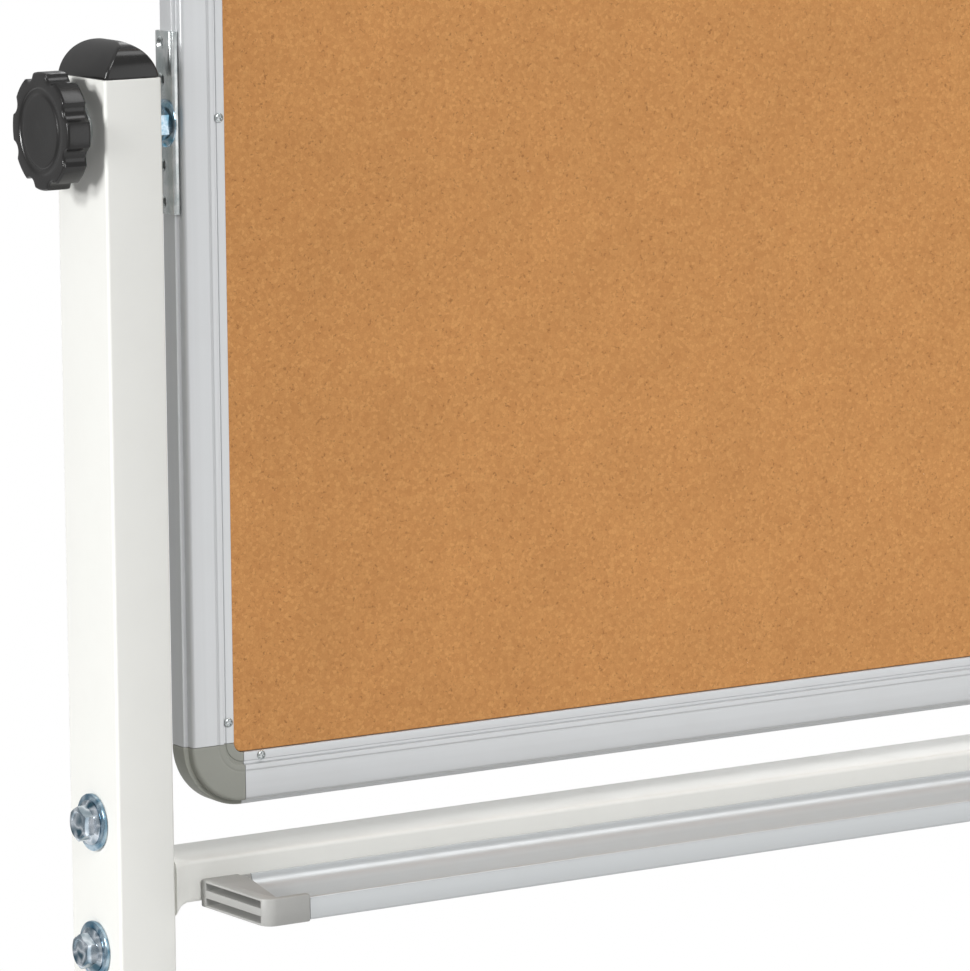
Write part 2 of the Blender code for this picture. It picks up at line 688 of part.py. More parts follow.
def trough_point(angle, grow):
    """Return a point of the tray's hollow, or of its underside when it is grown by the wall."""
    floor = TRAY_BOTTOM + TRAY_WALL
    width = TRAY_DEPTH - TRAY_WALL - TRAY_LIP_THICKNESS - TROUGH_FLAT
    height = TRAY_BACK_HEIGHT - TRAY_WALL
    centre_y = TRAY_REAR - TRAY_WALL - width
    centre_z = floor + height
    return (centre_y + (width + grow) * math.cos(angle), centre_z - (height + grow) * math.sin(angle))


def tray_section():
    """Return the tray's outer outline and the outline of the chamber behind the trough."""
    top = TRAY_BOTTOM + TRAY_BACK_HEIGHT
    floor = TRAY_BOTTOM + TRAY_WALL
    lip_top = TRAY_BOTTOM + TRAY_LIP_HEIGHT
    lip_back = TRAY_FRONT + TRAY_LIP_THICKNESS
    corners = [(TRAY_REAR + TRAY_FLANGE, TRAY_BOTTOM, 0), (TRAY_REAR + TRAY_FLANGE, TRAY_FLANGE_TOP, 0),
               (TRAY_REAR, TRAY_FLANGE_TOP, 0), (TRAY_REAR, top, 0)]
    outline = rounded(corners, closed=False)
    for step in range(TROUGH_STEPS + 1):
        outline.append(trough_point(math.pi / 2 * step / TROUGH_STEPS, 0))
    bead = [(lip_back, floor, 0), (lip_back, lip_top - 2 * TRAY_BEAD_RADIUS, 0),
            (lip_back + TRAY_BEAD_RADIUS, lip_top - TRAY_BEAD_RADIUS, 0),
            (lip_back + TRAY_BEAD_RADIUS, lip_top, TRAY_BEAD_RADIUS / 2),
            (TRAY_FRONT, lip_top, TRAY_BEAD_RADIUS), (TRAY_FRONT, TRAY_BOTTOM, TRAY_BEAD_RADIUS),
            corners[0]]
    outline += rounded(bead, closed=False)[:-1]
    width = trough_point(0, 0)[0] - trough_point(math.pi / 2, 0)[0]
    height = trough_point(0, 0)[1] - trough_point(math.pi / 2, 0)[1]
    first = math.acos(width / (width + TRAY_WALL))
    last = math.asin((height + TRAY_WALL - CHAMBER_FLOOR) / (height + TRAY_WALL))
    chamber = [(TRAY_REAR - TRAY_WALL, TRAY_BOTTOM + CHAMBER_FLOOR)]
    for step in range(TROUGH_STEPS + 1):
        angle = first + (last - first) * step / TROUGH_STEPS
        chamber.append(trough_point(angle, TRAY_WALL))
    return outline, chamber


def make_tray():
    """Aluminium pen tray: a trough with a front lip, a rear flange under the crossbar and a chamber."""
    inner_end = TRAY_END - TRAY_CAP_LENGTH - SEAT_GAP
    outline, chamber = tray_section()
    extrude("tray_profile", [outline, chamber], 2 * inner_end, ALONG_X, "aluminium")


def scoop_section():
    """Return the space above the trough, which the end caps continue for a short way."""
    top = TRAY_BOTTOM + TRAY_BACK_HEIGHT + OVERRUN
    lip_back = TRAY_FRONT + TRAY_LIP_THICKNESS + TRAY_BEAD_RADIUS
    floor = TRAY_BOTTOM + TRAY_WALL
    points = [trough_point(math.pi / 2 * step / TROUGH_STEPS, 0) for step in range(TROUGH_STEPS + 1)]
    return points + [(lip_back, floor), (lip_back, top), (points[0][0], top)]


def make_tray_cap(word, side):
    """Moulded end cap: rounded at the front, with two deep slots in its end and a tongue inside."""
    name = f"tray_cap_{word}"
    front = TRAY_FRONT - TRAY_CAP_PROUD
    low = TRAY_BOTTOM - TRAY_CAP_PROUD
    height = TRAY_BACK_HEIGHT + 2 * TRAY_CAP_PROUD
    inner = TRAY_END - TRAY_CAP_LENGTH
    plan = rounded([(side * inner, TRAY_REAR, 0), (side * inner, front, TRAY_CAP_EDGE),
                    (side * TRAY_END, front, TRAY_CAP_RADIUS), (side * TRAY_END, TRAY_REAR, TRAY_CAP_EDGE)],
                   steps=2 * FILLET_STEPS)
    cap = extrude(name, [plan], height, ALONG_Z, "pale_grey_plastic")
    cap.location = (0, 0, low + height / 2)
    edge = cap.modifiers.new("edge", "BEVEL")
    edge.width = TRAY_CAP_EDGE / 2
    edge.segments = 2
    edge.limit_method = "ANGLE"
    edge.angle_limit = math.radians(60)
    scoop = extrude(name + "_scoop", [scoop_section()], 2 * SCOOP_LENGTH, ALONG_X)
    scoop.location = (side * inner, 0, 0)
    cut(cap, scoop)
    for number in range(2):
        bottom = low + SLOT_WALL + number * (height - 2 * SLOT_WALL - SLOT_HEIGHT)
        ends = sorted((side * (TRAY_END - SLOT_DEPTH), side * (TRAY_END + OVERRUN)))
        back = TRAY_REAR - SLOT_END_WALL
        slot = make_box(f"{name}_slot_{number}", (ends[0], back - SLOT_LENGTH, bottom),
                        (ends[1], back, bottom + SLOT_HEIGHT))
        cut(cap, slot)
    corner = (TRAY_REAR - TRAY_WALL - SEAT_GAP, TRAY_BOTTOM + CHAMBER_FLOOR + SEAT_GAP)
    reach = trough_point(TONGUE_ANGLE, TRAY_WALL + SEAT_GAP)
    ends = sorted((side * (inner - TONGUE_LENGTH), side * (inner + SLOT_WALL)))
    tongue = make_box(name + "_tongue", (ends[0], reach[0], corner[1]), (ends[1], corner[0], reach[1]))
    join(cap, tongue)


def frame_path():
    """Return the frame's outer surface from its front lip round the side to its back lip.

    Each corner is (distance in from the board's side, place from front to back, radius).
    """
    lip = FRAME_FACE - LIP_WIDTH
    bead_out = lip - BEAD_WIDTH
    return [(FRAME_FACE, FRONT_LIP, 0),
            (lip, FRONT_LIP, 0),
            (lip, BEAD_RISE - FRAME_FRONT, 0),
            (lip - BEAD_RISE * 2, -FRAME_FRONT, 0),
            (bead_out + BEAD_RISE * 2, -FRAME_FRONT, 0),
            (bead_out, BEAD_RISE - FRAME_FRONT, 0),
            (bead_out - BEAD_RISE * 2, -FRAME_FRONT, 0),
            (LEDGE_WIDTH, -FRAME_FRONT, STEP_RADIUS),
            (LEDGE_WIDTH, LEDGE_FACE, 0),
            (0, LEDGE_FACE, RIM_RADIUS),
            (0, FRAME_BACK, BACK_RADIUS),
            (lip, FRAME_BACK, 0),
            (lip, BACK_LIP, 0),
            (FRAME_FACE, BACK_LIP, 0)]


def place_section(points, word):
    """Move a section to one side of the board, in the axes that its extrusion uses."""
    if word == "left":
        return [(x - BOARD_WIDTH / 2, y) for x, y in points]
    if word == "right":
        return [(BOARD_WIDTH / 2 - x, y) for x, y in points]
    if word == "bottom":
        return [(y, x - BOARD_HEIGHT / 2) for x, y in points]
    return [(y, BOARD_HEIGHT / 2 - x) for x, y in points]


def make_frame(pivot):
    """Four aluminium channels that hold the sheets, cut square where the corner pieces begin."""
    flange = FRAME_FACE - CORE_BITE + FRAME_WALL
    corners = [(flange, FRONT_SEAT, 0), (FRAME_FACE, FRONT_SEAT, 0), *frame_path(),
               (FRAME_FACE, BACK_SEAT, 0)]
    path = rounded(corners, closed=False)
    for word in ("left", "right", "bottom", "top"):
        upright = word in ("left", "right")
        span = BOARD_HEIGHT if upright else BOARD_WIDTH
        length = span - 2 * (CORNER_RADIUS + SEAT_GAP)
        along = ALONG_Z if upright else ALONG_X
        profile = fold_sheet(f"frame_{word}", place_section(path, word), FRAME_WALL, length, along,
                             "aluminium")
        profile.location = (0, 0, PIVOT_HEIGHT)
        hang_on(profile, pivot)


def make_corners(pivot):
    """Plastic corner pieces: the frame's section turned through a quarter, with spigots for the ends."""
    corners = [*frame_path(), (FRAME_FACE, BACK_SEAT, 0), (THROAT, BACK_SEAT, 0), (THROAT, FRONT_SEAT, 0),
               (FRAME_FACE, FRONT_SEAT, 0)]
    section = rounded(corners)
    shape = bmesh.new()
    ring = [shape.verts.new((x - CORNER_RADIUS, y, 0)) for x, y in section]
    face = shape.faces.new(ring)
    bmesh.ops.spin(shape, geom=[face, *face.edges, *face.verts], cent=(0, 0, 0), axis=(0, 1, 0),
                   angle=-math.pi / 2, steps=CORNER_STEPS, use_duplicate=False)
    bmesh.ops.remove_doubles(shape, verts=shape.verts, dist=MERGE_DISTANCE)
    bmesh.ops.recalc_face_normals(shape, faces=shape.faces)
    mesh = bpy.data.meshes.new("corner")
    shape.to_mesh(mesh)
    shape.free()
    piece = make_object("corner", mesh, "grey_plastic")
    inset = FRAME_WALL + SEAT_GAP
    out = LEDGE_WIDTH + inset - CORNER_RADIUS
    for number, (low_x, low_z) in enumerate(((out, -OVERRUN), (-OVERRUN, out))):
        size_x = SPIGOT_WIDTH if number == 0 else SPIGOT_LENGTH + OVERRUN
        size_z = SPIGOT_LENGTH + OVERRUN if number == 0 else SPIGOT_WIDTH
        spigot = make_box(f"corner_spigot_{number}", (low_x, inset - FRAME_FRONT, low_z),
                          (low_x + size_x, FRAME_BACK - inset, low_z + size_z))
        join(piece, spigot)
    settle(piece)
    across = BOARD_WIDTH / 2 - CORNER_RADIUS
    up = BOARD_HEIGHT / 2 - CORNER_RADIUS
    names = ["corner_bottom_left", "corner_top_left", "corner_top_right", "corner_bottom_right"]
    signs = [(-1, -1), (-1, 1), (1, 1), (1, -1)]
    places = [((x * across, 0, PIVOT_HEIGHT + z * up), (0, math.pi / 2 * turn, 0))
              for turn, (x, z) in enumerate(signs)]
    place_copies(piece, names, places)
    for name in names:
        hang_on(bpy.data.objects[name], pivot)


def make_sheets(pivot):
    """Cork on the front, a fibreboard core in the channel and an enamelled steel sheet on the back."""
    sheets = (("cork_sheet", "cork", FRAME_FACE + SEAT_GAP, CORK_FRONT, CORK_BACK),
              ("core_panel", "fibreboard", THROAT + SEAT_GAP, CORE_FRONT, CORE_BACK),
              ("writing_sheet", "white_steel", FRAME_FACE + SEAT_GAP, STEEL_FRONT, STEEL_BACK))
    for name, material, inset, front, back in sheets:
        outline = rectangle(BOARD_WIDTH - 2 * inset, BOARD_HEIGHT - 2 * inset, CORNER_RADIUS - inset,
                            steps=CORNER_STEPS)
        sheet = extrude(name, [outline], back - front, ALONG_Y, material)
        sheet.location = (0, (front + back) / 2, PIVOT_HEIGHT)
        hang_on(sheet, pivot)


def make_bracket(word, side, pivot):
    """Zinc-plated channel on the board's side, drilled for the pivot and for four screws."""
    web = -SEAT_GAP - BRACKET_THICKNESS
    front = LEDGE_FACE - SEAT_GAP - BRACKET_THICKNESS
    back = FRAME_BACK + SEAT_GAP + BRACKET_THICKNESS
    corners = [(BRACKET_FRONT_REACH, front, 0), (web, front, BRACKET_RADIUS),
               (web, back, BRACKET_RADIUS), (BRACKET_BACK_REACH, back, 0)]
    path = place_section(rounded(corners, closed=False), word)
    bracket = fold_sheet(f"bracket_{word}", path, BRACKET_THICKNESS, BRACKET_HEIGHT, ALONG_Z, "zinc")
    bracket.location = (0, 0, PIVOT_HEIGHT)
    hang_on(bracket, pivot)
    middle = side * (BOARD_WIDTH / 2 - web / 2)
    offsets = (BRACKET_OUTER_HOLES, BRACKET_INNER_HOLES, 0, -BRACKET_INNER_HOLES, -BRACKET_OUTER_HOLES)
    for number, offset in enumerate(offsets):
        radius = BRACKET_HOLE_RADIUS if offset else HOLE_RADIUS
        drill = make_cylinder(f"bracket_drill_{word}_{number}", radius, 2 * OVERRUN, SMALL_SIDES, ALONG_X,
                              (middle, BRACKET_HOLE_SETBACK if offset else 0, PIVOT_HEIGHT + offset))
        cut(bracket, drill)


def make_pivots(pivot):
    """Pivot stud, flange nut, spacer and knob washer on each side, all on the pivot's axis."""
    web = SEAT_GAP + BRACKET_THICKNESS
    end = POST_GAP + POST_WIDTH + KNOB_OUTREACH - KNOB_CROWN - SEAT_GAP
    stud = turn_profile("pivot_stud", [(0, end), (BOLT_RADIUS - BOLT_END_CHAMFER, end),
                                       (BOLT_RADIUS, end - BOLT_END_CHAMFER), (BOLT_RADIUS, SEAT_GAP),
                                       (0, SEAT_GAP)], SMALL_SIDES, "zinc")
    settle(stud)
    nut_face = web + SEAT_GAP
    hole = BOLT_RADIUS + RUNNING_GAP
    nut = turn_profile("pivot_nut", [(0, PIVOT_FLANGE_THICKNESS), (PIVOT_FLANGE_TOP, PIVOT_FLANGE_THICKNESS),
                                     (PIVOT_FLANGE_RADIUS, PIVOT_FLANGE_THICKNESS / 2),
                                     (PIVOT_FLANGE_RADIUS, 0), (0, 0)], ROUND_SIDES, "zinc")
    hexagon = make_hex_blank("pivot_nut_hexagon", PIVOT_NUT_RADIUS,
                             PIVOT_NUT_HEIGHT - PIVOT_FLANGE_THICKNESS / 2, BOLT_CHAMFER)
    hexagon.location = (0, 0, PIVOT_FLANGE_THICKNESS / 2)
    join(nut, hexagon)
    bore = make_cylinder("pivot_nut_bore", hole, 2 * (PIVOT_NUT_HEIGHT + OVERRUN), SMALL_SIDES, ALONG_Z,
                         (0, 0, 0))
    cut(nut, bore)
    settle(nut)
    spacer_face = nut_face + PIVOT_NUT_HEIGHT + SEAT_GAP
    spacer_end = POST_GAP - SEAT_GAP
    spacer = turn_profile("pivot_spacer", [(SPACER_RADIUS, spacer_end), (SPACER_RADIUS, spacer_face),
                                           (hole, spacer_face), (hole, spacer_end)],
                          ROUND_SIDES, "black_plastic", closed=True)
    settle(spacer)
    washer_face = POST_GAP + POST_WIDTH + SEAT_GAP
    washer = turn_profile("knob_washer", [(KNOB_WASHER_RADIUS, washer_face + KNOB_WASHER_THICKNESS),
                                          (KNOB_WASHER_RADIUS, washer_face), (hole, washer_face),
                                          (hole, washer_face + KNOB_WASHER_THICKNESS)],
                          ROUND_SIDES, "zinc", closed=True)
    settle(washer)
    for item, offset in ((stud, 0), (nut, nut_face), (spacer, 0), (washer, 0)):
        base = item.name
        names = [f"{base}_{word}" for word, side in SIDES]
        places = [((side * (BOARD_WIDTH / 2 + offset), 0, PIVOT_HEIGHT), (0, side * math.pi / 2, 0))
                  for word, side in SIDES]
        place_copies(item, names, places)
        if item is not washer:
            for name in names:
                hang_on(bpy.data.objects[name], pivot)


def knob_profile():
    """Return the knob's turned section, from the middle of its face round its skirt to its bore."""
    top = KNOB_OUTREACH - KNOB_WASHER_THICKNESS - SEAT_GAP * 2
    skirt = top - KNOB_GRIP_HEIGHT
    groove_in = KNOB_GROOVE_RADIUS - KNOB_GROOVE_WIDTH / 2
    groove_out = KNOB_GROOVE_RADIUS + KNOB_GROOVE_WIDTH / 2
    dished = top - KNOB_FACE_DISH
    points = [(0, dished), (groove_in, dished), (KNOB_GROOVE_RADIUS, dished - KNOB_GROOVE_DEPTH),
              (groove_out, top), (KNOB_FACE_RADIUS, top)]
    edge = KNOB_RADIUS - KNOB_FACE_RADIUS
    for step in range(1, FILLET_STEPS + 1):
        angle = math.pi / 2 * step / FILLET_STEPS
        points.append((KNOB_FACE_RADIUS + edge * math.sin(angle),
                       top - KNOB_EDGE_RADIUS + KNOB_EDGE_RADIUS * math.cos(angle)))
    hollow = KNOB_RADIUS - KNOB_FLUTE_DEPTH - KNOB_SKIRT
    bore = BOLT_RADIUS + RUNNING_GAP
    points += [(KNOB_RADIUS, skirt), (hollow, skirt), (hollow, skirt + KNOB_HOLLOW),
               (KNOB_HUB_RADIUS, skirt + KNOB_HOLLOW), (KNOB_HUB_RADIUS, 0), (bore, 0),
               (bore, top - KNOB_CROWN), (0, top - KNOB_CROWN)]
    return points


def make_knobs():
    """Fluted clamping knobs, hollow behind, that turn on the ends of the pivot bolts."""
    knob = turn_profile("knob", knob_profile(), FINE_SIDES, "black_plastic")
    away = KNOB_RADIUS - KNOB_FLUTE_DEPTH + KNOB_FLUTE_RADIUS
    for number in range(KNOB_FLUTES):
        angle = math.tau * (number + 0.5) / KNOB_FLUTES
        flute = make_cylinder(f"knob_flute_{number}", KNOB_FLUTE_RADIUS, 2 * KNOB_OUTREACH + OVERRUN,
                              FLUTE_SIDES, ALONG_Z,
                              (away * math.cos(angle), away * math.sin(angle), KNOB_OUTREACH / 2))
        cut(knob, flute)
    settle(knob)
    back = POST_OUTER + KNOB_WASHER_THICKNESS + SEAT_GAP * 2
    names = [f"knob_{word}" for word, side in SIDES]
    places = [((side * back, 0, PIVOT_HEIGHT), (0, side * math.pi / 2, 0)) for word, side in SIDES]
    place_copies(knob, names, places)


def wheel_profile():
    """Return half of a wheel's section, mirrored: tread, rim, web and hub round the axle's bore."""
    half = WHEEL_WIDTH / 2
    hub = half + FORK_SIDE_GAP - RUNNING_GAP
    bore = AXLE_RADIUS + RUNNING_GAP
    upper = [(bore, hub), (WHEEL_HUB_RADIUS, hub), (WHEEL_HUB_RADIUS, half - WHEEL_DISH),
             (WHEEL_RADIUS - WHEEL_EDGE, half), (WHEEL_RADIUS, half - WHEEL_EDGE)]
    return upper + [(radius, -height) for radius, height in reversed(upper)]


def fork_outline():
    """Return the side view of a caster's fork, from its crown down to the axle."""
    low = WHEEL_CENTRE - FORK_EAR_RADIUS
    return rounded([(-FORK_FRONT_REACH, FORK_TOP, FORK_CORNER_RADIUS),
                    (-FORK_FRONT_REACH, FORK_TOP - FORK_FRONT_DROP, FORK_CORNER_RADIUS),
                    (CASTER_TRAIL - FORK_EAR_RADIUS, low, FORK_EAR_ROUNDING),
                    (CASTER_TRAIL + FORK_EAR_RADIUS, low, FORK_EAR_ROUNDING),
                    (FORK_BACK_REACH, FORK_TOP - FORK_BACK_DROP, FORK_CORNER_RADIUS),
                    (FORK_BACK_REACH, FORK_TOP, FORK_CORNER_RADIUS)], steps=2)


def make_fork():
    """Pressed fork with its riveted axle, about the swivel axis and above the floor."""
    fork = extrude("caster_fork", [fork_outline()], FORK_WIDTH, ALONG_X, "zinc")
    inside = FORK_WIDTH / 2 - FORK_THICKNESS
    hollow = make_box("caster_fork_hollow", (-inside, -FORK_BACK_REACH - OVERRUN, -OVERRUN),
                      (inside, FORK_BACK_REACH + OVERRUN, FORK_CROWN_HEIGHT))
    window = make_box("caster_fork_window", (-inside, CASTER_TRAIL / 2, 0),
                      (inside, FORK_BACK_REACH + OVERRUN, FORK_TOP + OVERRUN))
    kingpin = make_cylinder("caster_fork_kingpin", KINGPIN_RADIUS + RUNNING_GAP,
                            2 * (FORK_CROWN_THICKNESS + OVERRUN), SMALL_SIDES, ALONG_Z, (0, 0, FORK_TOP))
    pin = make_cylinder("caster_fork_pin_hole", PEDAL_PIN_RADIUS + RUNNING_GAP, FORK_WIDTH + 2 * OVERRUN,
                        SMALL_SIDES, ALONG_X, (0, PEDAL_PIN_REACH, PEDAL_PIN_HEIGHT))
    for tool in (hollow, window, kingpin, pin):
        cut(fork, tool)
    end = FORK_WIDTH / 2 + AXLE_HEAD_HEIGHT
    neck = FORK_WIDTH / 2 - FORK_THICKNESS / 2
    axle = turn_profile("caster_axle", [(0, end), (AXLE_HEAD_RADIUS / 2, end),
                                        (AXLE_HEAD_RADIUS, end - AXLE_HEAD_HEIGHT / 2),
                                        (AXLE_HEAD_RADIUS, neck), (AXLE_RADIUS, neck),
                                        (AXLE_RADIUS, -neck), (AXLE_HEAD_RADIUS, -neck),
                                        (AXLE_HEAD_RADIUS, AXLE_HEAD_HEIGHT / 2 - end),
                                        (AXLE_HEAD_RADIUS / 2, -end), (0, -end)], SMALL_SIDES)
    axle.rotation_euler = (0, math.pi / 2, 0)
    axle.location = (0, CASTER_TRAIL, WHEEL_CENTRE)
    join(fork, axle)
    settle(fork)
    return fork


def make_stem():
    """Fixed part of a caster: threaded stem, collar, upper race and the kingpin below it."""
    race = FORK_TOP + RUNNING_GAP
    collar = CASTER_HEIGHT - SEAT_GAP
    under = FORK_CROWN_HEIGHT - RUNNING_GAP
    stem = turn_profile("caster_stem", [(0, collar + STEM_LENGTH),
                                        (STEM_RADIUS - BOLT_END_CHAMFER, collar + STEM_LENGTH),
                                        (STEM_RADIUS, collar + STEM_LENGTH - BOLT_END_CHAMFER),
                                        (STEM_RADIUS, collar), (STEM_COLLAR_RADIUS, collar),
                                        (STEM_COLLAR_RADIUS, collar - STEM_COLLAR_HEIGHT),
                                        (RACE_SHOULDER_RADIUS,
                                         race + RACE_EDGE_HEIGHT + RACE_SHOULDER_HEIGHT),
                                        (RACE_RADIUS, race + RACE_EDGE_HEIGHT), (RACE_RADIUS, race),
                                        (KINGPIN_RADIUS, race), (KINGPIN_RADIUS, under),
                                        (KINGPIN_HEAD_RADIUS, under),
                                        (KINGPIN_HEAD_RADIUS, under - KINGPIN_HEAD_HEIGHT),
                                        (0, under - KINGPIN_HEAD_HEIGHT)], SMALL_SIDES, "zinc")
    settle(stem)
    return stem


def make_pedal():
    """Brake pedal: a lever and its cam between the fork's cheeks, turning on a cross pin."""
    boss = PEDAL_BOSS_RADIUS
    tip = PEDAL_LENGTH
    outline = rounded([(-boss, -boss, PEDAL_BOSS_ROUNDING), (boss, -boss, PEDAL_TIP_ROUNDING),
                       (2 * boss, boss - PEDAL_THICKNESS, PEDAL_THICKNESS),
                       (tip, PEDAL_RISE, PEDAL_TIP_ROUNDING),
                       (tip, PEDAL_RISE + PEDAL_THICKNESS, PEDAL_TIP_ROUNDING),
                       (-boss, boss, PEDAL_BOSS_ROUNDING)], steps=2)
    width = FORK_WIDTH - 2 * (FORK_THICKNESS + PEDAL_SIDE_GAP)
    pedal = extrude("brake_pedal", [outline], width, ALONG_X, "black_plastic")
    pin = make_cylinder("brake_pedal_pin", PEDAL_PIN_RADIUS, FORK_WIDTH + 2 * PEDAL_PIN_PROUD, SMALL_SIDES,
                        ALONG_X, (0, 0, 0))
    join(pedal, pin)
    settle(pedal)
    return pedal


def make_casters():
    """Four swivel casters with their trails pointing outwards, braked on one diagonal."""
    fork = make_fork()
    stem = make_stem()
    wheel = turn_profile("caster_wheel", wheel_profile(), FINE_SIDES, "grey_rubber", closed=True,
                         start_angle=math.pi / FINE_SIDES)
    settle(wheel)
    pedal = make_pedal()
    names, spots = [], []
    for word, side in SIDES:
        for end_word, end in (("front", -1), ("back", 1)):
            names.append(f"{end_word}_{word}")
            spots.append((side * POST_MIDDLE, end))
    swivels = {}
    for name, (x, end) in zip(names, spots):
        swivels[name] = make_empty(f"swivel_{name}", (x, end * CASTER_PLACE, CASTER_HEIGHT))
    turns = [0 if end > 0 else math.pi for x, end in spots]
    floor = [((x, end * CASTER_PLACE, 0), (0, 0, turn)) for (x, end), turn in zip(spots, turns)]
    place_copies(fork, [f"caster_fork_{name}" for name in names], floor)
    place_copies(stem, [f"caster_stem_{name}" for name in names], floor)
    hubs = [((x, end * (CASTER_PLACE + CASTER_TRAIL), WHEEL_CENTRE), (0, math.pi / 2, 0))
            for x, end in spots]
    place_copies(wheel, [f"caster_wheel_{name}" for name in names], hubs)
    braked = [index for index, name in enumerate(names) if name in ("front_left", "back_right")]
    pins = [((spots[index][0], spots[index][1] * (CASTER_PLACE + PEDAL_PIN_REACH), PEDAL_PIN_HEIGHT),
             (0, 0, turns[index])) for index in braked]
    place_copies(pedal, [f"brake_pedal_{names[index]}" for index in braked], pins)
    for name in names:
        hang_on(bpy.data.objects[f"caster_fork_{name}"], swivels[name])
        hang_on(bpy.data.objects[f"caster_wheel_{name}"], swivels[name])
    for index in braked:
        hang_on(bpy.data.objects[f"brake_pedal_{names[index]}"], swivels[names[index]])


def main():
    """Build every piece of the board and its stand."""
    pivot = make_empty("board_pivot", (0, 0, PIVOT_HEIGHT))
    make_crossbar("upper_crossbar", UPPER_BAR_HEIGHT)
    make_crossbar("lower_crossbar", LOWER_BAR_HEIGHT)
    for word, side in SIDES:
        make_post(word, side)
        make_post_cap(word, side)
        make_foot(word, side)
        make_tray_cap(word, side)
        make_bracket(word, side, pivot)
    make_foot_caps()
    make_bar_bolts()
    make_tray()
    make_frame(pivot)
    make_corners(pivot)
    make_sheets(pivot)
    make_pivots(pivot)
    make_knobs()
    make_casters()
    bpy.context.view_layer.update()


main()
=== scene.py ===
import math

import bmesh
import bpy
from mathutils import Matrix, Vector


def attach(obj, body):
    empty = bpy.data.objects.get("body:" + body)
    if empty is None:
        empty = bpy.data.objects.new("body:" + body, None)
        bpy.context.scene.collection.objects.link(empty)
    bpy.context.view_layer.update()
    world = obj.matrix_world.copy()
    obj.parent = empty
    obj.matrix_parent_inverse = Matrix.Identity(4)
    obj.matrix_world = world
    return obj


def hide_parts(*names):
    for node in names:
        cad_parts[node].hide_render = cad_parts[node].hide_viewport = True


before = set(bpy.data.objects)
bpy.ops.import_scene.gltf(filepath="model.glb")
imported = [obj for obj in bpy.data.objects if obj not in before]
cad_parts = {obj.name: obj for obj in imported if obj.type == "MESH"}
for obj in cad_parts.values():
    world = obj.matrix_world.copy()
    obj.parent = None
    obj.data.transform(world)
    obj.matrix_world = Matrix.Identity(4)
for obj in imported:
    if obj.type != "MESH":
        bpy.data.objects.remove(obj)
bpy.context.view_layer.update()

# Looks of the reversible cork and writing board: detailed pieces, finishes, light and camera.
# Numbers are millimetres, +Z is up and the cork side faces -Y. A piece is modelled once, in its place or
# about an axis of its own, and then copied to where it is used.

SIDES = (("left", -1), ("right", 1))
ENDS = (("front", -1), ("back", 1))
BARS = (("upper", 655.2), ("lower", 190.0))
BAR_DEPTH, BAR_HEIGHT, BAR_RADIUS = 39.8, 22.0, 2.5
GREY, WHITE = (0.5, 0.5, 0.5, 1.0), (1.0, 1.0, 1.0, 1.0)

# Places and sizes that several functions share: X to the right, Y to the back, Z up
PIVOT = 1040.0
POST_MIDDLE = 534.4
POST_INNER, POST_OUTER = 518.4, 550.4
BAR_END = POST_INNER - 0.3
BOLT_FACE = POST_OUTER + 0.3
BOLT_OFFSET = 33
FOOT_MIDDLE = 83
TRAY_END, TRAY_CAP_INNER = 498.1, 472.1
TRAY_LOW, TRAY_FLOOR, TRAY_HIGH = 642.5, 643.9, 655.5
TRAY_REAR = -20.2
BOARD_SIDE, BOARD_HALF_HEIGHT, CORNER_RADIUS = 500.0, 352, 33
UPRIGHT_HALF, LEVEL_HALF = 318.7, 466.7
FRAME_HALF_DEPTH, LIP_DEPTH, LIP_END = 8.5, 7.0, 27.6
BRACKET_HALF = 46
GRIP_INNER, GRIP_RADIUS, KNOB_STEPS = 24.7, 29.5, 288
FLUTES, FLUTE_AWAY, FLUTE_RADIUS = 8, 32.6, 6.0
CASTER_REACH, AXLE_TRAIL, AXLE_HEIGHT = 215, 20, 24.8
PEDAL_REACH, PEDAL_HEIGHT = 249, 50


# Modelling helpers

def mm(x, y, z):
    """Return a place given in millimetres."""
    return Vector((x, y, z)) / 1000


def flat(points, plane, depth=0.0):
    """Lay (u, v) points on the XY, XZ or YZ plane at a depth."""
    if plane == "XY":
        return [mm(u, v, depth) for u, v in points]
    if plane == "XZ":
        return [mm(u, depth, v) for u, v in points]
    return [mm(depth, u, v) for u, v in points]


def rounded(corners, steps=6, closed=True):
    """Turn (u, v, radius) corners into points, with an arc at each corner that has a radius."""
    points = []
    for index, (u, v, radius) in enumerate(corners):
        if radius <= 0 or (not closed and index in (0, len(corners) - 1)):
            points.append((u, v))
            continue
        before, after = corners[index - 1], corners[(index + 1) % len(corners)]
        back = math.atan2(before[1] - v, before[0] - u)
        ahead = math.atan2(after[1] - v, after[0] - u)
        opening = (ahead - back + math.pi) % math.tau - math.pi
        half, middle = abs(opening) / 2, back + opening / 2
        reach = radius / math.tan(half)
        centre_u = u + math.cos(middle) * radius / math.sin(half)
        centre_v = v + math.sin(middle) * radius / math.sin(half)
        start = math.atan2(v + math.sin(back) * reach - centre_v, u + math.cos(back) * reach - centre_u)
        finish_at = math.atan2(v + math.sin(ahead) * reach - centre_v, u + math.cos(ahead) * reach - centre_u)
        sweep = (finish_at - start + math.pi) % math.tau - math.pi
        for step in range(steps + 1):
            angle = start + sweep * step / steps
            points.append((centre_u + radius * math.cos(angle), centre_v + radius * math.sin(angle)))
    return points


def rectangle(width, height, radius, centre=(0.0, 0.0), steps=6):
    """Return a rectangle's outline with rounded corners."""
    left, right = centre[0] - width / 2, centre[0] + width / 2
    low, high = centre[1] - height / 2, centre[1] + height / 2
    return rounded([(left, low, radius), (right, low, radius), (right, high, radius),
                    (left, high, radius)], steps)


def ring(radius, height, count=48):
    """Return a level circle. Radius and height may each be a number or a function of the angle."""
    places = []
    for step in range(count):
        angle = math.tau * step / count
        reach = radius(angle) if callable(radius) else radius
        rise = height(angle) if callable(height) else height
        places.append(mm(reach * math.cos(angle), reach * math.sin(angle), rise))
    return places


